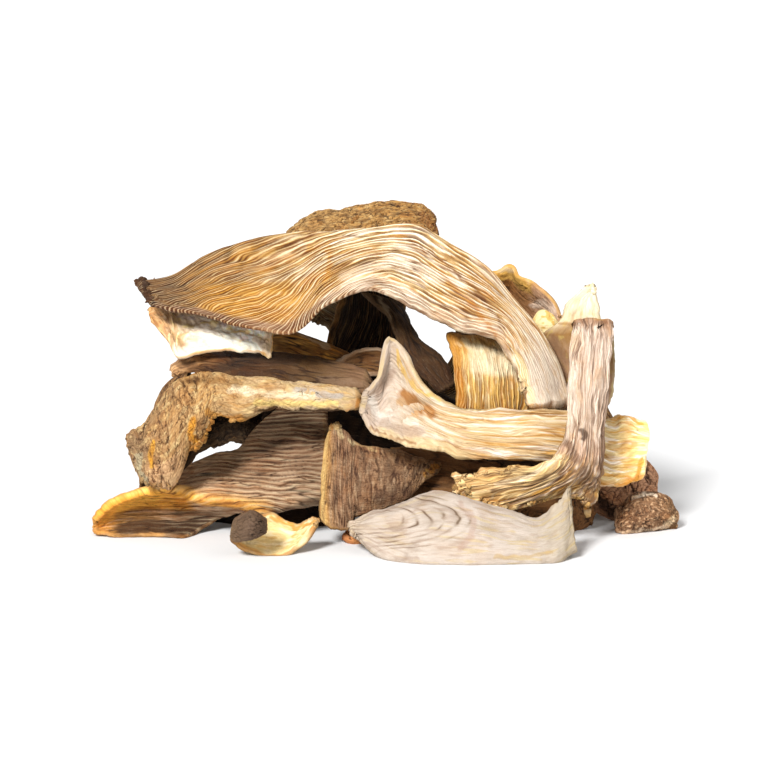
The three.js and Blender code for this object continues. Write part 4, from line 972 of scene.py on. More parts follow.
        "rim": ("94703f", 0.6),
        # Painted light: its front drawn lighter against the shade deep in the heap.
        "shade_front": 1.5,
    },
    "dark_pocket": {
        "mesh": (110, 70),
        "light": "7d5834 74512d 6f4c2a",
        "dark": "2b180b 321d0e",
        "relief": [("net", {"size": 1.5, "depth": 0.35, "seed": 72})],
        "rim": ("8a6438", 0.5),
        # Painted light: its front drawn lighter against the shade deep in the heap.
        "shade_front": 1.3,
    },
    "under_cap": {
        "mesh": (90, 50),
        # Painted shade: its tones and its front drawn dark, as shade deep in the heap.
        "light": "4a3322 543a26",
        "dark": "1f130a",
        "relief": [("net", {"size": 2.2, "depth": 0.4, "seed": 74})],
        "rim": ("6b4a2e", 0.5),
        "shade_front": 0.6,
    },
    "inner_fan": {
        "mesh": (120, 70),
        # Painted shade: its tones and its front drawn dark, as shade deep in the heap.
        "light": "4f3720 5a3f25 4c341e",
        "dark": "1f1209 241509",
        "relief": [("gills", {"count": 14, "depth": 0.3, "across": True, "seed": 93})],
        "shade_front": 0.5,
    },
    "inner_cap": {
        "mesh": (90, 90),
        # Painted shade: its tones and its front drawn dark, as shade deep in the heap.
        "light": "5a4028 64472c 523a24",
        "dark": "24160b 2a190c",
        "relief": [("net", {"size": 1.8, "depth": 0.35, "seed": 94})],
        "shade_front": 0.6,
    },
    "side_left_cap": {
        "mesh": (200, 170),
        "light": "8f6c48 a07a50 a88258 9a744c",
        "dark": "3f2a17 48301a 422b17",
        "relief": [
            ("net", {"size": 1.4, "depth": 0.4, "stretch": 1.5, "seed": 95}),
            ("wrinkles", {"size": 3, "depth": 0.5, "stretch": 3, "slant": 40, "seed": 96}),
        ],
        "streaks": [("c9a878", 0.6, 4, 1.2, 0.2), ("6b4c30", 0.6, 5, 1.4, 0.24)],
        "rim": ("c0924a", 0.8),
        "ragged": 0.9,
        # Painted shade: the face seen through the arch drawn near black.
        "shade_back": 0.2,
        "cracks": (0.25, 0.35, 0.04, 0.9),
    },
    "back_fan": {
        "mesh": (240, 160),
        "light": "a37a4c ad8452 b48a56 bb935c c29a64 c09860",
        # Painted shade: the back face, seen through the arch, drawn near black.
        "dark": "422913 4c3016 573a1c 624322",
        "light_back": "2c1a0e 2e1b0f 332011",
        "dark_back": "22150b 24160c",
        "relief": [
            ("gills", {"count": 26, "depth": 0.32, "waver": 0.8, "thin": 1.8, "seed": 76, "forks": 0.8,
                       "lines": 0.2}),
            ("wrinkles", {"size": 2.6, "depth": 0.5, "stretch": 7, "seed": 77}),
        ],
        "streaks": [("cfa870", 0.4, 10, 1.1, 0.24), ("80592f", 0.5, 9, 0.9, 0.22)],
        "rim": ("b8873f", 0.8),
        "ragged": 0.5,
        "shade_back": 0.75,
    },
    "back_long_fan": {
        "mesh": (320, 150),
        "light": "b0854c bd9158 cba466 d6b47a dfc492 e6d1a6 e8d8b4 e3d2ae",
        "dark": "462b13 52351a 674621 7d5a2e 94703f a0814f",
        "sweep": [0.3, 0.2, 0.1, 0, 0, 0],
        "relief": [
            ("gills", {"count": 22, "depth": 0.32, "waver": 0.7, "thin": 1.8, "seed": 97,
                       "dark": [1, 1, 0.9, 0.7, 0.5], "forks": [1.4, 1.2, 1, 0.8, 0.6], "lines": 0.7}),
            ("wrinkles", {"size": 2.4, "depth": 0.45, "stretch": 7, "seed": 98, "dark": [0.9, 0.8, 0.7]}),
        ],
        "streaks": [
            ("f6ecd6", [0.2, 0.4, 0.7, 0.9, 0.9], 12, 1.3, 0.26),
            ("cf9a40", [0.5, 0.6, 0.7, 0.7, 0.6], 10, 0.9, 0.22),
            ("80592f", 0.5, 9, 0.6, 0.14),
        ],
        "bands": [("c08a3a", 0.7, 0.8, 1, 0, 0.4)],
        "rim": ("a87434", 0.7),
        "ragged": 0.9,
        "shade_back": 0.5,
    },
    "back_top_fan": {
        "mesh": (150, 110),
        "light": "c79a5c d2ab70 d6b27a c9a068",
        "dark": "6b4824 744f29",
        "relief": [
            ("gills", {"count": 14, "depth": 0.3, "across": True, "seed": 99, "waver": 0.6,
                       "forks": 0.8, "lines": 0.5}),
            ("wrinkles", {"size": 2, "depth": 0.3, "seed": 100}),
        ],
        "streaks": [("ecd6a8", 0.7, 3, 1.2, 0.24)],
        "rim": ("dcae5c", 0.8),
        "ragged": 0.9,
    },
    "back_cap_left": {
        "mesh": (190, 160),
        "light": "a98258 b58d62 ae865a a27a50",
        "dark": "4c331d 523720 462e19",
        "relief": [
            ("net", {"size": 1.35, "depth": 0.4, "stretch": 1.6, "seed": 80}),
            ("wrinkles", {"size": 3, "depth": 0.5, "stretch": 4, "seed": 82, "dark": 0.8}),
            ("crumple", {"size": 7, "depth": 0.9, "seed": 81}),
        ],
        "streaks": [("d2b184", 0.6, 4, 1.2, 0.2), ("74532f", 0.6, 5, 1.4, 0.22)],
        "rim": ("c8974c", 0.8),
        "ragged": 1.0,
        # Painted shade: the face seen from the front through the gaps drawn dark.
        "shade_back": 0.22,
        "cracks": (0.25, 0.35, 0.04, 0.9),
    },
    "back_cap_right": {
        "mesh": (210, 190),
        "light": "b08c62 bd986a c29e70 b58f62",
        "dark": "523a22 5a3f24 4f361e",
        "relief": [
            ("net", {"size": 1.3, "depth": 0.4, "stretch": 1.4, "seed": 84}),
            ("wrinkles", {"size": 3.2, "depth": 0.5, "stretch": 3, "slant": 70, "seed": 86, "dark": 0.8}),
            ("crumple", {"size": 7, "depth": 1.0, "seed": 85}),
        ],
        "streaks": [("dcc194", 0.6, 4, 1.2, 0.22), ("805e3a", 0.6, 5, 1.4, 0.2)],
        "rim": ("cfa058", 0.8),
        "ragged": 1.0,
        "shade_back": 0.5,
        "cracks": (0.25, 0.35, 0.04, 0.9),
    },
    "back_slice": {
        "mesh": (190, 90),
        "light": "e0d2bd e9dfce ece2d0 e3d3b4",
        "dark": "94795a a8947a",
        "relief": [
            ("gills", {"count": 9, "depth": 0.2, "waver": 1.2, "across": True, "seed": 88, "dark": 0.6}),
            ("wrinkles", {"size": 2.6, "depth": 0.2, "stretch": 7, "seed": 89, "dark": 0.6}),
        ],
        "streaks": [("cbb7a4", 0.6, 6, 1.6, 0.2)],
        "grain": (0.16, 0.08, 0.12),
        "rim": ("c9a878", 0.5),
    },
    "back_stem": {
        "mesh": (150, 80),
        "light": "dbc094 e4cca2 e0c494 d6b480",
        "dark": "8d6c40 94713f",
        "relief": [("wrinkles", {"size": 2.0, "depth": 0.35, "stretch": 9, "seed": 91})],
        "streaks": [("f6ecd0", 0.7, 9, 1.2, 0.25), ("c9974e", 0.6, 8, 1, 0.2)],
        "rim": ("c9974e", 0.6),
    },
}


def paint(code):
    """The linear colour of a six-figure sRGB code."""
    channels = np.array([int(code[i : i + 2], 16) for i in (0, 2, 4)]) / 255
    return np.where(channels <= 0.04045, channels / 12.92, ((channels + 0.055) / 1.055) ** 2.4)


def step_between(low, high, value):
    """0 below low, 1 above high and a smooth rise between them."""
    share = np.clip((value - low) / (high - low), 0, 1)
    return share * share * (3 - 2 * share)


def along(values, shares):
    """Values that run evenly from the first to the last, read at the shares."""
    values = np.atleast_1d(values)
    return np.interp(shares, np.linspace(0, 1, len(values)), values)


def tones_along(codes, shares):
    """Colours that run evenly from the first to the last, read at the shares."""
    colours = np.array([paint(code) for code in codes.split()])
    places = np.linspace(0, 1, len(colours))
    return np.stack([np.interp(shares, places, colours[:, k]) for k in range(3)], -1)


# Noise


# How many cells the noise has each way before it repeats
LATTICE = 64


def noise(x, y, seed):
    """Smooth noise from about -1 to 1, with cells one unit wide."""
    turns = np.random.default_rng(seed).uniform(0, 2 * math.pi, (LATTICE, LATTICE))
    left = np.floor(x).astype(int)
    low = np.floor(y).astype(int)
    across_cell = x - left
    up_cell = y - low

    def corner(i, j):
        turn = turns[(left + i) % LATTICE, (low + j) % LATTICE]
        return np.cos(turn) * (across_cell - i) + np.sin(turn) * (up_cell - j)

    fade_x = across_cell**3 * (across_cell * (across_cell * 6 - 15) + 10)
    fade_y = up_cell**3 * (up_cell * (up_cell * 6 - 15) + 10)
    lower = corner(0, 0) * (1 - fade_x) + corner(1, 0) * fade_x
    upper = corner(0, 1) * (1 - fade_x) + corner(1, 1) * fade_x
    return 1.4 * (lower * (1 - fade_y) + upper * fade_y)


def layers(x, y, seed, count=3):
    """Noise with finer and weaker noise on top of it."""
    total = 0
    for k in range(count):
        total = total + noise(x * 2**k, y * 2**k, seed + k) / 2**k
    return total


def cell_borders(x, y, seed):
    """How far each place is from the nearest border between scattered cells one unit wide."""
    shift = np.random.default_rng(seed).uniform(0.1, 0.9, (LATTICE, LATTICE, 2))
    left = np.floor(x).astype(int)
    low = np.floor(y).astype(int)
    nearest = np.full(x.shape, 9.0)
    second = np.full(x.shape, 9.0)
    for i in (-1, 0, 1):
        for j in (-1, 0, 1):
            seeds = shift[(left + i) % LATTICE, (low + j) % LATTICE]
            away = np.hypot(left + i + seeds[..., 0] - x, low + j + seeds[..., 1] - y)
            second = np.minimum(second, np.maximum(nearest, away))
            nearest = np.minimum(nearest, away)
    return second - nearest


# The surface of a blade


def place(layout):
    """The points that are seen at x, h and lie at depth y."""
    x, h, y = np.moveaxis(np.asarray(layout, float), -1, 0)
    seen = np.stack(
        [x, h * math.sin(SIGHT_ANGLE), SIGHT_HEIGHT + h * math.cos(SIGHT_ANGLE)], -1
    )
    share = (y - EYE[1]) / (seen[..., 1] - EYE[1])
    return EYE + (seen - EYE) * share[..., None]


def seen_from_front(points):
    """Where the viewer sees the points: x to the right and h upwards, the reverse of place."""
    ray = points - EYE
    forward = np.array([0, math.cos(SIGHT_ANGLE), -math.sin(SIGHT_ANGLE)])
    upward = np.array([0, math.sin(SIGHT_ANGLE), math.cos(SIGHT_ANGLE)])
    scale = SIGHT_DISTANCE / (ray @ forward)
    return points[..., 0] * scale, (ray @ upward) * scale


def row_across(row):
    """A row's points from its upper edge to its lower edge, its middle out by the belly."""
    if not np.isscalar(row[0]):
        return row
    x1, h1, y1, x2, h2, y2, belly = row
    shares = (0, 0.25, 0.5, 0.75, 1)
    return [
        [x1 + (x2 - x1) * s, h1 + (h2 - h1) * s, y1 + (y2 - y1) * s - belly * 4 * s * (1 - s)]
        for s in shares
    ]


def smooth_through(points, shares):
    """Centripetal curves through points[0], points[1] and so on, read at the shares."""
    last = len(points) - 1
    before = 2 * points[0] - points[1]
    after = 2 * points[-1] - points[-2]
    chain = np.concatenate([before[None], points, after[None]])
    spot = shares * last
    i = np.minimum(spot.astype(int), last - 1)
    w = (spot - i)[:, None, None]
    p0, p1, p2, p3 = (chain[i + k] for k in range(4))

    def stretch(a, b):
        return np.sqrt(np.linalg.norm(b - a, axis=-1, keepdims=True))

    d1 = stretch(p1, p2)
    d1 = np.where(d1 < 1e-4, 1, d1)
    d0 = stretch(p0, p1)
    d0 = np.where(d0 < 1e-4, d1, d0)
    d2 = stretch(p2, p3)
    d2 = np.where(d2 < 1e-4, d1, d2)
    leaving = d1 * ((p1 - p0) / d0 - (p2 - p0) / (d0 + d1) + (p2 - p1) / d1)
    coming = d1 * ((p2 - p1) / d1 - (p3 - p1) / (d1 + d2) + (p3 - p2) / d2)
    square = -3 * p1 + 3 * p2 - 2 * leaving - coming
    cube = 2 * p1 - 2 * p2 + leaving + coming
    return p1 + leaving * w + square * w**2 + cube * w**3


def control_grid(shape):
    """The rows of points that a blade's middle surface runs through."""
    grid = place([row_across(row) for row in shape["rows"]])
    shares = np.linspace(0, 1, len(grid))
    if "roll_top" in shape:
        back, down = shape["roll_top"]
        share = along(shape.get("roll_share", 1), shares)
        end = grid[:, 0] + np.stack([0 * share, back * share, -down * share], -1)
        grid = np.concatenate([end[:, None], grid], 1)
    if "roll_low" in shape:
        back, down = shape["roll_low"]
        end = grid[:, -1] + np.array([0, back, -down])
        grid = np.concatenate([grid, end[:, None]], 1)
    if shape.get("behind"):
        grid = grid * np.array([-1, -1, 1])
    return grid


def unit(vectors):
    """The vectors, each made one long."""
    return vectors / np.maximum(np.linalg.norm(vectors, axis=-1, keepdims=True), 1e-9)


class Blade:
    """A blade's middle surface on a fine grid, with the measures that its relief is made from."""

    def __init__(self, shape, look, steps):
        self.steps = steps
        self.fan = look.get("fan", 1)
        self.sweep = look.get("sweep", 0)
        shares_u = np.linspace(0, 1, steps[0] + 1)
        shares_v = np.linspace(0, 1, steps[1] + 1)
        rows = smooth_through(np.swapaxes(control_grid(shape), 0, 1), shares_v)
        self.middle = smooth_through(np.swapaxes(rows, 0, 1), shares_u)
        self.u, self.v = np.meshgrid(shares_u, shares_v, indexing="ij")
        self.measure()
        self.length = np.linalg.norm(np.diff(self.middle, axis=0), axis=-1).sum(0).mean()
        widths = np.linalg.norm(np.diff(self.middle, axis=1), axis=-1).sum(1)
        self.width = widths.mean()
        self.local_width = widths[:, None]
        self.s = self.u * self.length
        self.t = (self.v - 0.5) * self.width
        self.edge = np.abs(2 * self.v - 1)
        inward_v = (1 - self.edge) * self.local_width / 2
        inward_u = np.minimum(self.u, 1 - self.u) * self.length
        self.inward = np.minimum(inward_v, inward_u)
        self.lines = np.zeros(self.middle.shape)

    def measure(self):
        """Works out the directions along, across and out of the surface."""
        self.lengthways = unit(np.gradient(self.middle, axis=0))
        self.crossways = unit(np.gradient(self.middle, axis=1))
        self.normal = unit(np.cross(self.crossways, self.lengthways))


# Relief: each kind gives the height of the skin in millimetres and how deep in a groove it lies, which is
# laid on as painted shade


def fanned(blade):
    """Where each place lies across the blade, on lines that its fan spreads."""
    return blade.v * along(blade.fan, blade.u)


def lane_of(blade):
    """Where each place lies across the blade, on lines that its fan spreads and its sweep bends."""
    return fanned(blade) + along(blade.sweep, blade.u)


def gills(
    blade, count, depth, seed, waver=0.8, thin=2.0, dark=1.0, across=False, level=False, window=None,
    forks=0, lines=0,
):
    """Standing gills that waver. They run along the blade, across it, or level.

    The count is for the whole blade, or for a centimetre of level ones. The window is the stretch
    of the blade that has them. The material draws finer ones between them: each fork doubles
    their number and lines is how strong they are.
    """
    s, t, lane = blade.s, blade.t, blade.u if across else lane_of(blade)
    if level:
        s, t = seen_from_front(blade.middle)
        lane = t / CENTIMETRE
    drift = waver * layers(s / 16, t / 6, seed, 3) + 0.1 * noise(s / 3, t / 1.6, seed + 11)
    phase = lane * count + drift * along(blade.fan, blade.u)
    crest = 0.5 + 0.5 * np.cos(2 * math.pi * phase)
    strength = np.clip(0.75 + 0.6 * noise(blade.s / 7, blade.t / 2.5, seed + 9), 0.15, 1.2)
    if window:
        low, high = window
        strength = strength * step_between(low - 0.1, low, blade.u)
        strength = strength * (1 - step_between(high, high + 0.1, blade.u))
    if np.any(lines):
        drawn = along(lines, blade.u) * strength
        blade.lines = np.stack([phase, along(forks, blade.u), drawn], -1)
    rise = along(depth, blade.u) * (np.sqrt(crest) - 0.6) * strength
    # The second value is painted shade in the troughs between the gills.
    return rise, along(dark, blade.u) * (1 - crest) ** thin * strength


def net(blade, size, depth, seed, stretch=1.0, slant=0.0, width=0.3, dark=1.0):
    """A raised net of wrinkles with short dark cracks between them, whose darkness is painted shade."""
    turn = math.radians(slant)
    a = blade.s * math.cos(turn) + blade.t * math.sin(turn)
    b = blade.t * math.cos(turn) - blade.s * math.sin(turn)
    bend_a = 0.9 * layers(a / (2 * size), b / (2 * size), seed + 5, 3)
    bend_b = 0.9 * layers(a / (2 * size), b / (2 * size), seed + 15, 3)
    border = cell_borders(a / (size * stretch) + bend_a, b / size + bend_b, seed)
    crest = step_between(0.0, width, border)
    patchy = np.clip(0.65 + 0.9 * noise(a / (2.2 * size), b / (2.2 * size), seed + 7), 0.05, 1)
    rise = along(depth, blade.u) * (crest - 0.7) * patchy
    return rise, along(dark, blade.u) * (1 - crest) * patchy


def wrinkles(blade, size, depth, seed, stretch=4.0, slant=0.0, width=0.28, dark=1.0, level=False):
    """Rounded folds of skin that run in one direction, or level, with narrow creases between them, darkened
    with painted shade.
    """
    turn = math.radians(slant)
    s, t = blade.s, (fanned(blade) - 0.5) * blade.width
    if level:
        s, t = seen_from_front(blade.middle)
    a = s * math.cos(turn) + t * math.sin(turn)
    b = t * math.cos(turn) - s * math.sin(turn)
    bend = 0.35 * layers(a / (2 * size * stretch), b / (2 * size), seed + 5, 2)
    fold = np.abs(layers(a / (size * stretch), b / size + bend, seed, 2))
    crest = np.sqrt(np.clip(2.0 * fold, 0, 1))
    deep = np.clip(0.6 + 0.8 * noise(a / (3 * size), b / (2 * size), seed + 7), 0.1, 1)
    crease = 1 - step_between(0.0, width, fold)
    rise = along(depth, blade.u) * (crest - 0.7) * deep
    return rise, along(dark, blade.u) * crease * deep


def rings(blade, middle, flat, gap, reach, depth, dark, seed):
    """Creases round a place, each outside the last, and wider than high by the flatness, darkened with
    painted shade.
    """
    x, h = seen_from_front(blade.middle)
    away = np.hypot((x - middle[0]) / flat, h - middle[1])
    away = away + 0.3 * layers(x / 7, h / 3, seed, 2)
    crest = 0.5 + 0.5 * np.cos(2 * math.pi * away / gap)
    strength = step_between(1.5, 3, away) * (1 - step_between(reach - 1, reach, away))
    strength = strength * np.clip(0.6 + 1.2 * noise(x / 5, h / 2, seed + 7), 0.05, 1)
    return depth * (np.sqrt(crest) - 0.6) * strength, dark * (1 - crest) ** 5 * strength


def dent(blade, middle, reach, depth, dark=0.0):
    """A smooth hollow round a place seen from the front, or a swelling where the depth is negative, with
    its dark share laid in as painted shade.
    """
    x, h = seen_from_front(blade.middle)
    away = np.hypot((x - middle[0]) / reach[0], (h - middle[1]) / reach[1])
    fall = np.exp(-2 * away**2)
    return -depth * fall, dark * fall


def crumple(blade, size, depth, seed):
    """Broad soft dents, with painted shade in them."""
    height = depth * layers(blade.s / size, blade.t / size, seed, 3)
    return height, 0.25 * step_between(0.1, 0.9, -height / depth)


RELIEF = {
    "gills": gills,
    "net": net,
    "wrinkles": wrinkles,
    "rings": rings,
    "dent": dent,
    "crumple": crumple,
}


def skin_of(blade, reliefs, settings):
    """The summed height of the skin and how deep in a groove each place lies, which is laid on as painted
    shade.
    """
    height = np.zeros_like(blade.u)
    groove = np.zeros_like(blade.u)
    for kind, facts in reliefs:
        rise, dark = RELIEF[kind](blade, **facts)
        height += rise * (settings.gill_depth if kind == "gills" else settings.wrinkle_depth)
        groove = 1 - (1 - groove) * (1 - np.clip(dark, 0, 1))
    inside = step_between(0, RELIEF_FADE, blade.inward)
    return height * inside, groove * (0.35 + 0.65 * inside)


# Colour


def stroke_cover(x, h, path, width):
    """How much of a stroke of that width along a path covers each place, from 0 to 1."""
    away = np.full(x.shape, 1e9)
    for (x1, h1), (x2, h2) in zip(path, path[1:]):
        run = max((x2 - x1) ** 2 + (h2 - h1) ** 2, 1e-9)
        share = np.clip(((x - x1) * (x2 - x1) + (h - h1) * (h2 - h1)) / run, 0, 1)
        away = np.minimum(away, np.hypot(x - x1 - share * (x2 - x1), h - h1 - share * (h2 - h1)))
    return 1 - step_between(0.35 * width, width, away)


def blend(tone, code, cover):
    """The tone with the colour laid over it where it covers."""
    return tone * (1 - cover[..., None]) + paint(code) * cover[..., None]


def streak_cover(blade, strength, length, width, share, seed):
    """Streaks that run along the lanes of the blade and take up that share of it."""
    t = (lane_of(blade) - 0.5) * blade.width
    grain = layers(blade.s / length, t / width, seed, 3)
    limit = np.quantile(grain, 1 - share)
    return along(strength, blade.u) * step_between(limit - 0.15, limit + 0.15, grain)


def band_cover(blade, low_v, high_v, low_u, high_u, wobble):
    """A soft-edged patch of the blade between two places across it and two along it."""
    v = blade.v + 0.02 * wobble
    u = blade.u + 0.02 * wobble
    across = step_between(low_v - 0.04, low_v + 0.02, v)
    across = across * (1 - step_between(high_v - 0.02, high_v + 0.04, v))
    lengthways = step_between(low_u - 0.04, low_u + 0.04, u)
    return across * lengthways * (1 - step_between(high_u - 0.04, high_u + 0.04, u))


def tone_of(blade, points, look, face, groove, seed):
    """The colour of each place on one face."""
    drift = 0.05 * layers(blade.s / 6, blade.t / 4, seed + 20, 2)
    wobble = 0.6 * noise(blade.s / 2.2, blade.t / 2.2, seed + 30)
    light = tones_along(look.get("light_" + face, look["light"]), np.clip(blade.u + drift, 0, 1))
    dark = tones_along(look.get("dark_" + face, look["dark"]), np.clip(blade.u + drift, 0, 1))
    for k, (code, strength, length, width, share) in enumerate(look.get("streaks", ())):
        cover = streak_cover(blade, strength, length, width, share, seed + 50 + 3 * k)
        light = blend(light, code, cover)
    for code, strength, low_v, high_v, low_u, high_u in look.get("bands", ()):
        cover = strength * band_cover(blade, low_v, high_v, low_u, high_u, wobble)
        light = blend(light, code, cover)
        dark = blend(dark, code, 0.4 * cover)
    if face == "front":
        x, h = seen_from_front(points)
        for code, strength, width, path in look.get("strokes", ()):
            cover = strength * stroke_cover(x + wobble, h + wobble, path, width)
            light = blend(light, code, cover)
            dark = blend(dark, code, 0.45 * cover)
    # Painted highlight on top of the gills.
    if "crest" in look:
        code, strength = look["crest"]
        light = blend(light, code, along(strength, blade.u) * (1 - step_between(0, 0.12, groove)))
    # Painted shade: the dark tones laid into the grooves.
    tone = light * (1 - groove[..., None]) + dark * groove[..., None]
    if "rim" in look:
        code, reach = look["rim"]
        patchy = noise(blade.s / 5, blade.t / 5, seed + 40)
        ragged = reach * (1 + 0.6 * noise(blade.s / 1.5, blade.t / 1.5, seed + 41))
        strength = np.clip(0.45 + 0.8 * patchy, 0.1, 0.9)
        tone = blend(tone, code, strength * (1 - step_between(0.3 * ragged, ragged, blade.inward)))
    # Shade: the piece drawn lighter or darker along the blade and on each face, partly its own tone and
    # partly painted light and shade.
    shade = along(look.get("shade", 1), blade.u) * look.get("shade_" + face, 1)
    return FLESH_SHADE * shade[..., None] * tone


# Meshes


def grid_quads(nu, nv, first):
    """The faces of one side of a blade, which look along its normal."""
    i, j = np.meshgrid(np.arange(nu), np.arange(nv), indexing="ij")
    a = first + i * (nv + 1) + j
    return np.stack([a, a + 1, a + nv + 2, a + nv + 1], -1).reshape(-1, 4)


def rim_round(nu, nv):
    """The outermost places of the grid, in order round the blade."""
    at = np.arange((nu + 1) * (nv + 1)).reshape(nu + 1, nv + 1)
    return np.concatenate([at[0, :-1], at[:-1, -1], at[-1, :0:-1], at[:0:-1, 0]])


def outward_at_rim(blade):
    """The way out of the blade, in its own plane, at every place of the grid."""
    out = np.zeros_like(blade.middle)
    out[0] -= blade.lengthways[0]
    out[-1] += blade.lengthways[-1]
    out[:, 0] -= blade.crossways[:, 0]
    out[:, -1] += blade.crossways[:, -1]
    return unit(out)


def crumb_template():
    """The corners and triangles of a small round ball."""
    ball = bmesh.new()
    bmesh.ops.create_icosphere(ball, subdivisions=3, radius=1)
    corners = np.array([list(corner.co) for corner in ball.verts])
    triangles = np.array([[corner.index for corner in side.verts] for side in ball.faces])
    ball.free()
    return corners, triangles


def crumbs_on(blade, front, front_tone, look, seed):
    """Crumbly lumps sunk into the front of the blade: their corners, triangles, tones and flow."""
    ball, triangles = crumb_template()
    draw = np.random.default_rng(seed)
    corners, faces, tones, flows = [], [], [], []
    for codes, count, size, low_u, high_u, low_v, high_v in look.get("crumbs", ()):
        codes = codes.split()
        for k in range(count):
            i = int(draw.uniform(low_u, high_u) * blade.steps[0])
            j = int(draw.uniform(low_v, high_v) * blade.steps[1])
            stretch = size * draw.uniform(0.3, 1.2, 3)
            rough = layers(1.6 * ball[:, 0] + k, 1.6 * (ball[:, 1] + ball[:, 2]), seed + k, 3)
            rough = 1 + 0.5 * rough
            lump = ball * rough[:, None] * stretch
            spin = np.linalg.qr(draw.normal(size=(3, 3)))[0]
            spin = spin * np.sign(np.linalg.det(spin))
            faces.append(triangles + sum(len(some) for some in corners))
            corners.append(front[i, j] - 0.15 * size * blade.normal[i, j] + lump @ spin)
            fresh = FLESH_SHADE * paint(codes[k % len(codes)]) * 0.7 + front_tone[i, j] * 0.3
            # Painted light and shade: each crumb darker in its hollows and lighter on its bumps.
            tones.append(fresh * np.clip(0.5 + 0.6 * (rough - 0.5), 0.3, 1.2)[:, None])
            flows.append(lump + k)
    if not corners:
        return None
    return tuple(np.concatenate(part) for part in (corners, faces, tones, flows))


def tear_and_curl(blade, shape, look, seed):
    """Tears the blade near its rim, and waves and curls it up and down there."""
    ragged = along(look.get("ragged", 0.6), blade.u)
    torn = ragged * layers(blade.s / 5, blade.t / 5, seed, 4)
    torn = torn[..., None] * step_between(TORN_REACH, 0, blade.inward)[..., None]
    half_width = blade.local_width / 2
    by_a_side = blade.edge * half_width > half_width - blade.inward - 1e-6
    out = np.where(
        by_a_side[..., None],
        blade.crossways * np.sign(blade.v - 0.5)[..., None],
        blade.lengthways * np.sign(blade.u - 0.5)[..., None],
    )
    blade.middle = blade.middle + out * torn
    blade.measure()
    wave = shape.get("ruffle", 0) * blade.edge**2
    wave = wave * np.sin(6 * math.pi * blade.u + 2 * blade.v)
    lift = along(look.get("curl", 0.5), blade.u) * layers(blade.s / 9, blade.t / 9, seed + 3, 2)
    lift = lift * step_between(CURL_REACH, 0, blade.inward)
    blade.middle = blade.middle + blade.normal * (wave + lift)[..., None]
    blade.measure()


def write_mesh(name, points, loops, starts, attributes):
    """A mesh made of points in millimetres, the corners of its faces and where each face starts."""
    mesh = bpy.data.meshes.new(name)
    mesh.vertices.add(len(points))
    mesh.vertices.foreach_set("co", (points * MM).ravel())
    mesh.loops.add(len(loops))
    mesh.loops.foreach_set("vertex_index", loops)
    mesh.polygons.add(len(starts))
    mesh.polygons.foreach_set("loop_start", starts)
    mesh.update(calc_edges=True)
    mesh.shade_smooth()
    for key, (kind, field, values) in attributes.items():
        mesh.attributes.new(key, kind, "POINT").data.foreach_set(field, values.ravel())
    return mesh


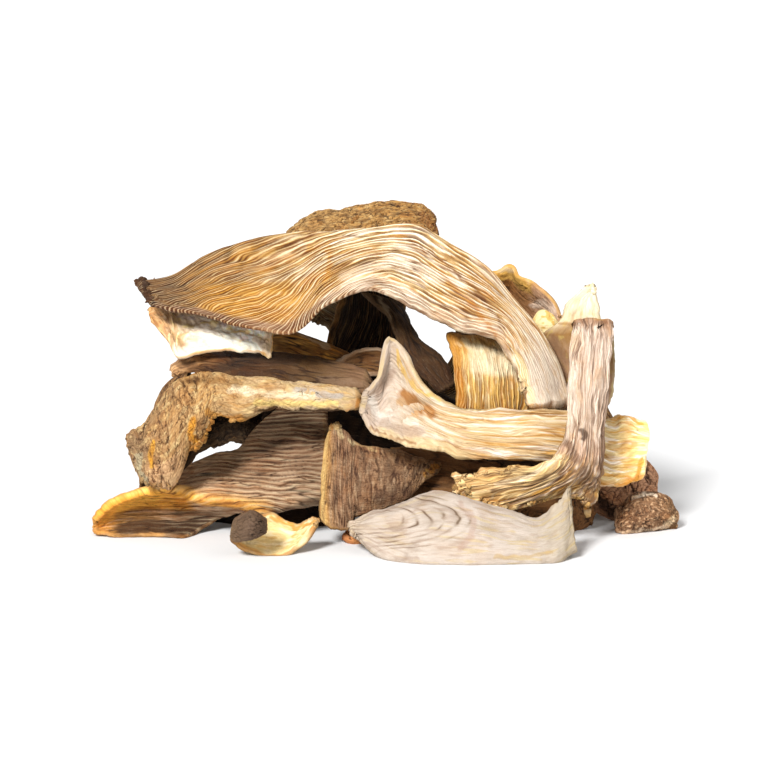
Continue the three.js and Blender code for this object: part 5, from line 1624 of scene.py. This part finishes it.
def blade_mesh(name, shape, look, settings):
    """The closed mesh of one piece, with the attributes that its material reads."""
    seed = sum(ord(letter) for letter in name)
    fineness = settings.fineness * 1
    nu, nv = (max(8, round(count * fineness)) for count in look["mesh"])
    blade = Blade(shape, look, (nu, nv))
    tear_and_curl(blade, shape, look, seed)
    full = along(shape["thick"], blade.u)
    section = np.sqrt(1 - blade.edge ** shape.get("round", 6))
    half = (EDGE_THICKNESS + (full - EDGE_THICKNESS) * section) / 2
    height, groove = skin_of(blade, look["relief"], settings)
    front = blade.middle + blade.normal * (half + height)[..., None]
    back = blade.middle - blade.normal * (half + height)[..., None]
    rim = rim_round(nu, nv)
    rounding = outward_at_rim(blade).reshape(-1, 3)[rim] * half.reshape(-1, 1)[rim] * RIM_ROUNDNESS
    between = blade.middle.reshape(-1, 3)[rim] + rounding
    front_tone = tone_of(blade, front, look, "front", groove, seed)
    back_tone = tone_of(blade, back, look, "back", groove, seed + 1)
    sheet = (nu + 1) * (nv + 1)
    points = np.concatenate([front.reshape(-1, 3), back.reshape(-1, 3), between]) - MIDDLE
    points[:, 2] = np.maximum(points[:, 2], GROUND_GAP)
    tone = np.concatenate([front_tone.reshape(-1, 3), back_tone.reshape(-1, 3)])
    tone = np.concatenate([tone, (tone[rim] + tone[sheet + rim]) / 2])
    run, rise = seen_from_front(blade.middle) if look.get("level") else (blade.s, blade.t)
    flow = np.stack([run, rise, 0 * run + seed], -1).reshape(-1, 3)
    flow = np.concatenate([flow, flow + [0, 0, 7], flow[rim] + [0, 0, 3]])
    lines = blade.lines.reshape(-1, 3)
    cracked = along(look.get("crack_reach", 1), blade.u).ravel()
    groove, lines, cracked = (
        np.concatenate([values, values, values[rim]]) for values in (groove.ravel(), lines, cracked)
    )
    here = rim
    there = np.roll(rim, -1)
    middle_here = 2 * sheet + np.arange(len(rim))
    middle_there = np.roll(middle_here, -1)
    quads = np.concatenate(
        [
            grid_quads(nu, nv, 0),
            grid_quads(nu, nv, sheet)[:, ::-1],
            np.stack([here, middle_here, middle_there, there], -1),
            np.stack([middle_here, sheet + here, sheet + there, middle_there], -1),
        ]
    )
    loops = quads.ravel()
    starts = np.arange(0, quads.size, 4)
    crumbs = crumbs_on(blade, front, front_tone, look, seed)
    if crumbs:
        corners, triangles, crumb_tone, crumb_flow = crumbs
        loops = np.concatenate([loops, (triangles + len(points)).ravel()])
        starts = np.concatenate([starts, quads.size + np.arange(0, triangles.size, 3)])
        points = np.concatenate([points, corners - MIDDLE])
        tone = np.concatenate([tone, crumb_tone])
        groove = np.concatenate([groove, np.zeros(len(corners))])
        flow = np.concatenate([flow, crumb_flow])
        lines = np.concatenate([lines, np.zeros(corners.shape)])
        cracked = np.concatenate([cracked, np.zeros(len(corners))])
    colours = np.concatenate([np.clip(tone, 0, 1), np.ones((len(tone), 1))], 1)
    attributes = {
        "tone": ("FLOAT_COLOR", "color", colours),
        "groove": ("FLOAT", "value", groove),
        "flow": ("FLOAT_VECTOR", "vector", flow),
        "lines": ("FLOAT_VECTOR", "vector", lines),
        "cracked": ("FLOAT", "value", cracked),
    }
    return write_mesh(name, points, loops, starts, attributes)


# Materials


class Shader:
    """Adds and links the nodes of one material."""

    def __init__(self, name):
        self.material = bpy.data.materials.new(name)
        self.material.use_nodes = True
        self.tree = self.material.node_tree
        self.tree.nodes.clear()

    def node(self, kind, **settings):
        """A new node of that kind, set up as given."""
        made = self.tree.nodes.new("ShaderNode" + kind)
        for key, value in settings.items():
            setattr(made, key, value)
        return made

    def link(self, output, target):
        """Joins an output to an input."""
        self.tree.links.new(output, target)

    def attribute(self, name, output):
        """One output of a mesh attribute."""
        return self.node("Attribute", attribute_name=name).outputs[output]

    def noise(self, vector, stretch, detail, roughness):
        """Noise from 0 to 1, finer in a direction the larger its stretch is."""
        mapping = self.node("Mapping")
        self.link(vector, mapping.inputs["Vector"])
        mapping.inputs["Scale"].default_value = stretch
        texture = self.node("TexNoise")
        self.link(mapping.outputs["Vector"], texture.inputs["Vector"])
        texture.inputs["Scale"].default_value = 1
        texture.inputs["Detail"].default_value = detail
        texture.inputs["Roughness"].default_value = roughness
        return texture.outputs["Fac"]

    def range(self, value, low, high, new_low, new_high):
        """A smooth change from the new low to the new high between the low and the high."""
        made = self.node("MapRange", interpolation_type="SMOOTHSTEP")
        self.link(value, made.inputs["Value"])
        numbers = {"From Min": low, "From Max": high, "To Min": new_low, "To Max": new_high}
        for key, number in numbers.items():
            made.inputs[key].default_value = number
        return made.outputs["Result"]

    def feed(self, target, value):
        """Links an output to the input, or sets the input to a number or colour."""
        if isinstance(value, bpy.types.NodeSocket):
            self.link(value, target)
        else:
            target.default_value = value

    def mix(self, blend_type, factor, first, second):
        """The second colour laid over the first."""
        made = self.node("Mix", data_type="RGBA", blend_type=blend_type)
        self.feed(made.inputs[0], factor)
        self.feed(made.inputs[6], first)
        self.feed(made.inputs[7], second)
        return made.outputs[2]

    def math(self, operation, first, second=0):
        """The result of one step of arithmetic."""
        made = self.node("Math", operation=operation)
        self.feed(made.inputs[0], first)
        self.feed(made.inputs[1], second)
        return made.outputs[0]


def gill_waves(shader):
    """The height of the fine gills, from -1 to 1, and how strong they are."""
    parts = shader.node("SeparateXYZ")
    shader.link(shader.attribute("lines", "Vector"), parts.inputs[0])
    phase, forks, strength = parts.outputs
    doubled = shader.math("POWER", 2, shader.math("FLOOR", forks))
    turns = shader.math("MULTIPLY", shader.math("MULTIPLY", phase, 2 * math.pi), doubled)
    coarse = shader.math("COSINE", turns)
    fine = shader.math("COSINE", shader.math("MULTIPLY", turns, 2))
    change = shader.math("MULTIPLY", shader.math("SUBTRACT", fine, coarse), shader.math("FRACT", forks))
    return shader.math("ADD", coarse, change), strength


def crack_lines(shader, flow, along, across, width, strength):
    """Thin wandering cracks, longer along the blade the smaller the along number is."""
    spread = shader.noise(flow, (along, across, 0.6), 3, 0.55)
    away = shader.math("ABSOLUTE", shader.math("SUBTRACT", spread, 0.5))
    patch = shader.noise(flow, (1.7 * along, 0.6 * across, 0.4), 2, 0.5)
    line = shader.range(away, 0, width, strength, 0)
    return shader.math("MULTIPLY", line, shader.range(patch, 0.4, 0.56, 0.15, 1))


def dried_flesh(name, look, settings):
    """Dried mushroom: the laid-on tones broken up by blotches, fibres along the blade and pores, with
    painted shade in the grooves, gill valleys and cracks and a painted highlight on the gill ridges.
    """
    shader = Shader(name)
    tone = shader.attribute("tone", "Color")
    groove = shader.attribute("groove", "Fac")
    flow = shader.attribute("flow", "Vector")
    fibre_strength, pore_strength, blotch_strength = look.get("grain", (0.35, 0.3, 0.35))
    blotch = shader.noise(flow, (0.16, 0.22, 0.3), 4, 0.6)
    cool = shader.noise(flow, (0.3, 0.5, 0.8), 3, 0.5)
    fibre = shader.noise(flow, (0.45, 3.2, 1.0), 5, 0.65)
    pore = shader.noise(flow, (2.6, 2.6, 2.0), 3, 0.6)
    overlays = (
        ("MULTIPLY", (blotch, 0.48, 0.66, 0, blotch_strength), (*settings.blotch_colour, 1)),
        ("MULTIPLY", (cool, 0.5, 0.7, 0, 0.5 * blotch_strength), COOL_TINT),
        ("MULTIPLY", (fibre, 0.58, 0.4, 0, fibre_strength), FIBRE_SHADE),
        ("SCREEN", (fibre, 0.55, 0.72, 0, 0.5 * fibre_strength), FIBRE_GLEAM),
        ("MULTIPLY", (pore, 0.44, 0.3, 0, pore_strength), PORE_SHADE),
        # Painted shade in the deepest grooves.
        ("MULTIPLY", (groove, 0.5, 1.0, 0, 0.5), (*settings.groove_shade, 1)),
    )
    for kind, cover, tint in overlays:
        tone = shader.mix(kind, shader.range(*cover), tone, tint)
    height = shader.math("ADD", shader.math("MULTIPLY", fibre, 0.7), shader.math("MULTIPLY", pore, 0.5))
    if any("lines" in facts for kind, facts in look["relief"]):
        wave, strength = gill_waves(shader)
        high, low = look.get("valley", (0.2, -0.9))
        # Painted shade in the valleys of the fine gills and a painted highlight on their ridges.
        valley = shader.math("MULTIPLY", shader.range(wave, high, low, 0, 1), strength)
        tone = shader.mix("MULTIPLY", valley, tone, VALLEY_SHADE)
        ridge = shader.math("MULTIPLY", shader.range(wave, 0.3, 1, 0, 0.5), strength)
        tone = shader.mix("SCREEN", ridge, tone, RIDGE_GLEAM)
        rise = shader.math("MULTIPLY", wave, shader.math("MULTIPLY", strength, 0.5))
        height = shader.math("ADD", height, rise)
    if "cracks" in look:
        crack = crack_lines(shader, flow, *look["cracks"])
        crack = shader.math("MULTIPLY", crack, shader.attribute("cracked", "Fac"))
        tone = shader.mix("MULTIPLY", crack, tone, CRACK_SHADE)
        height = shader.math("SUBTRACT", height, crack)
    body = shader.node("BsdfPrincipled")
    shader.link(tone, body.inputs["Base Color"])
    shader.link(shader.range(pore, 0.3, 0.7, 0.9, 0.66), body.inputs["Roughness"])
    body.inputs["Specular IOR Level"].default_value = FLESH_GLOSS
    bump = shader.node("Bump")
    bump.inputs["Strength"].default_value = BUMP_STRENGTH
    bump.inputs["Distance"].default_value = BUMP_HEIGHT * MM
    shader.link(height, bump.inputs["Height"])
    shader.link(bump.outputs["Normal"], body.inputs["Normal"])
    output = shader.node("OutputMaterial")
    shader.link(body.outputs["BSDF"], output.inputs["Surface"])
    return shader.material


def lay_piece(name, settings):
    """Builds one piece and puts it in the place of its node."""
    shape = SHAPES[name]
    look = LOOKS[name]
    piece = bpy.data.objects.new(name + "_blade", blade_mesh(name, shape, look, settings))
    bpy.context.scene.collection.objects.link(piece)
    piece.data.materials.append(dried_flesh(name + "_flesh", look, settings))
    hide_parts(name)
    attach(piece, BODY)


# Where the lights shine from, how wide the weak ones are in degrees, and the rest of the stage
KEY_SIDE = (-0.4, -1.0, 0.72)
FILL_SIDE = (0.9, -0.6, 0.6)
BACK_SIDE = (0.3, 0.9, 0.8)
FILL_SOFTNESS = 50
FLOOR_ROUGHNESS = 0.9
SENSOR_WIDTH = 36
FURTHEST_SEEN = 50


# What a user may change


class MushroomSettings(bpy.types.PropertyGroup):
    """How the mushroom pieces are finished."""

    fineness: FloatProperty(
        name="Fineness", description="How fine the meshes are", default=1.0, min=0.2, max=1.5,
        subtype="FACTOR",
    )
    gill_depth: FloatProperty(
        name="Gill depth", description="Height of the gills, as a share of the usual", default=1.0,
        min=0, max=2, subtype="FACTOR",
    )
    wrinkle_depth: FloatProperty(
        name="Wrinkle depth", description="Height of the wrinkles, as a share of the usual", default=1.0,
        min=0, max=2, subtype="FACTOR",
    )
    # Painted shade: the tint that darkens the deepest grooves.
    groove_shade: FloatVectorProperty(
        name="Groove colour", description="Tint of the deepest grooves", subtype="COLOR", size=3,
        default=tuple(paint("7a5a44")), min=0, max=1,
    )
    blotch_colour: FloatVectorProperty(
        name="Blotch colour", description="Tint of the golden blotches", subtype="COLOR", size=3,
        default=tuple(paint("e6b45a")), min=0, max=1,
    )


class StudioSettings(bpy.types.PropertyGroup):
    """The floor, the light and the camera."""

    floor_colour: FloatVectorProperty(
        name="Floor colour", description="Colour of the pale floor", subtype="COLOR", size=3,
        default=(0.72, 0.72, 0.72), min=0, max=1,
    )
    floor_size: FloatProperty(
        name="Floor size", description="Side of the floor", default=12.0, unit="LENGTH"
    )
    key_strength: FloatProperty(
        name="Key light", description="Strength of the main light", default=5.6, min=0
    )
    key_softness: FloatProperty(
        name="Key softness", description="Width of the main light in degrees", default=14.0, min=0
    )
    fill_strength: FloatProperty(
        name="Fill light", description="Strength of the side and back lights", default=0.7, min=0
    )
    sky_strength: FloatProperty(
        name="Sky", description="Strength of the pale surroundings", default=0.4, min=0
    )
    lens: FloatProperty(
        name="Lens", description="Focal length of the camera", default=187.5, unit="CAMERA",
        subtype="DISTANCE_CAMERA",
    )


# Operators: one for each group of like pieces, and one for the stage


RIBBED_FANS = (
    "bridge_fan", "pale_fan_left", "yellow_ribbed_cap", "ribbed_gutter_cap", "back_fan",
    "back_long_fan", "back_top_fan",
)
NETTED_CAPS = (
    "crown_cap", "square_cap", "crumpled_cap_left", "back_cap_left", "back_cap_right", "side_left_cap",
)
DARK_CAPS = (
    "olive_roll", "dark_curl", "arch_strap", "right_rear_brown", "right_front_brown", "brown_mid",
    "dark_pocket", "under_cap", "inner_fan", "inner_cap",
)
STEMS = ("cup_stem", "strap_fan", "rolled_cap_left", "stem_crumb", "back_stem")
PALE_PIECES = ("white_slice", "lemon_cup", "small_lemon", "spike_cap", "right_curl", "back_slice")


def lay_pieces(names, context):
    """Builds the named pieces, one after the other."""
    for name in names:
        lay_piece(name, context.scene.mushroom_settings)


class MUSHROOM_OT_ribbed_fans(bpy.types.Operator):
    """Lay the ribbed fans, whose gills show"""

    bl_idname = "mushroom.ribbed_fans"
    bl_label = "Ribbed fans"
    bl_options = {"REGISTER", "UNDO"}

    def execute(self, context):
        lay_pieces(RIBBED_FANS, context)
        return {"FINISHED"}


class MUSHROOM_OT_netted_caps(bpy.types.Operator):
    """Lay the caps with a netted skin"""

    bl_idname = "mushroom.netted_caps"
    bl_label = "Netted caps"
    bl_options = {"REGISTER", "UNDO"}

    def execute(self, context):
        lay_pieces(NETTED_CAPS, context)
        return {"FINISHED"}


class MUSHROOM_OT_dark_caps(bpy.types.Operator):
    """Lay the brown caps and curls in the shade of the heap"""

    bl_idname = "mushroom.dark_caps"
    bl_label = "Dark caps"
    bl_options = {"REGISTER", "UNDO"}

    def execute(self, context):
        lay_pieces(DARK_CAPS, context)
        return {"FINISHED"}


class MUSHROOM_OT_stems(bpy.types.Operator):
    """Lay the pieces that end in a stem or a strap"""

    bl_idname = "mushroom.stems"
    bl_label = "Stems and straps"
    bl_options = {"REGISTER", "UNDO"}

    def execute(self, context):
        lay_pieces(STEMS, context)
        return {"FINISHED"}


class MUSHROOM_OT_pale_pieces(bpy.types.Operator):
    """Lay the pale slices, cups and curls"""

    bl_idname = "mushroom.pale_pieces"
    bl_label = "Pale slices and cups"
    bl_options = {"REGISTER", "UNDO"}

    def execute(self, context):
        lay_pieces(PALE_PIECES, context)
        return {"FINISHED"}


class MUSHROOM_OT_studio(bpy.types.Operator):
    """Make the floor, the lights and the camera"""

    bl_idname = "mushroom.studio"
    bl_label = "Studio"
    bl_options = {"REGISTER", "UNDO"}

    def execute(self, context):
        studio = context.scene.studio_settings
        lay_floor(studio)
        hang_lights(studio)
        set_camera(studio)
        return {"FINISHED"}


def lay_floor(studio):
    """A plain pale floor, which isn't part of the heap."""
    half = studio.floor_size / 2
    mesh = bpy.data.meshes.new("floor")
    corners = [(-half, -half, 0), (half, -half, 0), (half, half, 0), (-half, half, 0)]
    mesh.from_pydata(corners, [], [(0, 1, 2, 3)])
    floor = bpy.data.objects.new("floor", mesh)
    bpy.context.scene.collection.objects.link(floor)
    shader = Shader("pale_floor")
    body = shader.node("BsdfPrincipled")
    body.inputs["Base Color"].default_value = (*studio.floor_colour, 1)
    body.inputs["Roughness"].default_value = FLOOR_ROUGHNESS
    output = shader.node("OutputMaterial")
    shader.link(body.outputs["BSDF"], output.inputs["Surface"])
    mesh.materials.append(shader.material)


def distant_light(name, strength, softness, side):
    """A light that shines evenly from one side, with shadows as soft as its width in the sky."""
    light = bpy.data.lights.new(name, "SUN")
    light.energy = strength
    light.angle = math.radians(softness)
    lamp = bpy.data.objects.new(name, light)
    lamp.location = side
    lamp.rotation_euler = (-Vector(side)).to_track_quat("-Z", "Y").to_euler()
    bpy.context.scene.collection.objects.link(lamp)


def hang_lights(studio):
    """A soft main light from the front and left, two weak ones and pale surroundings."""
    distant_light("key_light", studio.key_strength, studio.key_softness, KEY_SIDE)
    distant_light("fill_light", studio.fill_strength, FILL_SOFTNESS, FILL_SIDE)
    distant_light("back_light", studio.fill_strength, FILL_SOFTNESS, BACK_SIDE)
    world = bpy.data.worlds.new("pale_surroundings")
    world.use_nodes = True
    background = world.node_tree.nodes["Background"]
    background.inputs["Color"].default_value = (1, 1, 1, 1)
    background.inputs["Strength"].default_value = studio.sky_strength
    bpy.context.scene.world = world


def set_camera(studio):
    """The camera at the viewer's place, aimed at the middle of the heap."""
    camera = bpy.data.objects.new("camera", bpy.data.cameras.new("camera"))
    camera.data.lens = studio.lens
    camera.data.sensor_width = SENSOR_WIDTH
    camera.data.clip_end = FURTHEST_SEEN
    spot = Vector((EYE - MIDDLE) * MM)
    target = Vector((np.array([0, 0, SIGHT_HEIGHT]) - MIDDLE) * MM)
    camera.location = spot
    camera.rotation_euler = (target - spot).to_track_quat("-Z", "Y").to_euler()
    bpy.context.scene.collection.objects.link(camera)
    bpy.context.scene.camera = camera
    bpy.context.scene.view_settings.view_transform = "Standard"


PIECE_OPERATORS = (
    MUSHROOM_OT_ribbed_fans,
    MUSHROOM_OT_netted_caps,
    MUSHROOM_OT_dark_caps,
    MUSHROOM_OT_stems,
    MUSHROOM_OT_pale_pieces,
)


class MUSHROOM_PT_heap(bpy.types.Panel):
    """The heap's settings and operators"""

    bl_idname = "MUSHROOM_PT_heap"
    bl_label = "Mushroom heap"
    bl_space_type = "VIEW_3D"
    bl_region_type = "UI"
    bl_category = "Mushrooms"

    def draw(self, context):
        for group in (context.scene.mushroom_settings, context.scene.studio_settings):
            box = self.layout.box()
            for key in group.bl_rna.properties.keys():
                if key not in ("rna_type", "name"):
                    box.prop(group, key)
        for operator in (*PIECE_OPERATORS, MUSHROOM_OT_studio):
            self.layout.operator(operator.bl_idname)


CLASSES = (MushroomSettings, StudioSettings, *PIECE_OPERATORS, MUSHROOM_OT_studio, MUSHROOM_PT_heap)


def register():
    """Adds the settings, the operators and the panel."""
    for item in CLASSES:
        bpy.utils.register_class(item)
    bpy.types.Scene.mushroom_settings = PointerProperty(type=MushroomSettings)
    bpy.types.Scene.studio_settings = PointerProperty(type=StudioSettings)


def unregister():
    """Takes them away again."""
    del bpy.types.Scene.studio_settings
    del bpy.types.Scene.mushroom_settings
    for item in reversed(CLASSES):
        bpy.utils.unregister_class(item)


def main():
    """Builds the heap and its stage."""
    register()
    bpy.ops.mushroom.ribbed_fans()
    bpy.ops.mushroom.netted_caps()
    bpy.ops.mushroom.dark_caps()
    bpy.ops.mushroom.stems()
    bpy.ops.mushroom.pale_pieces()
    bpy.ops.mushroom.studio()


if __name__ == "__main__":
    main()
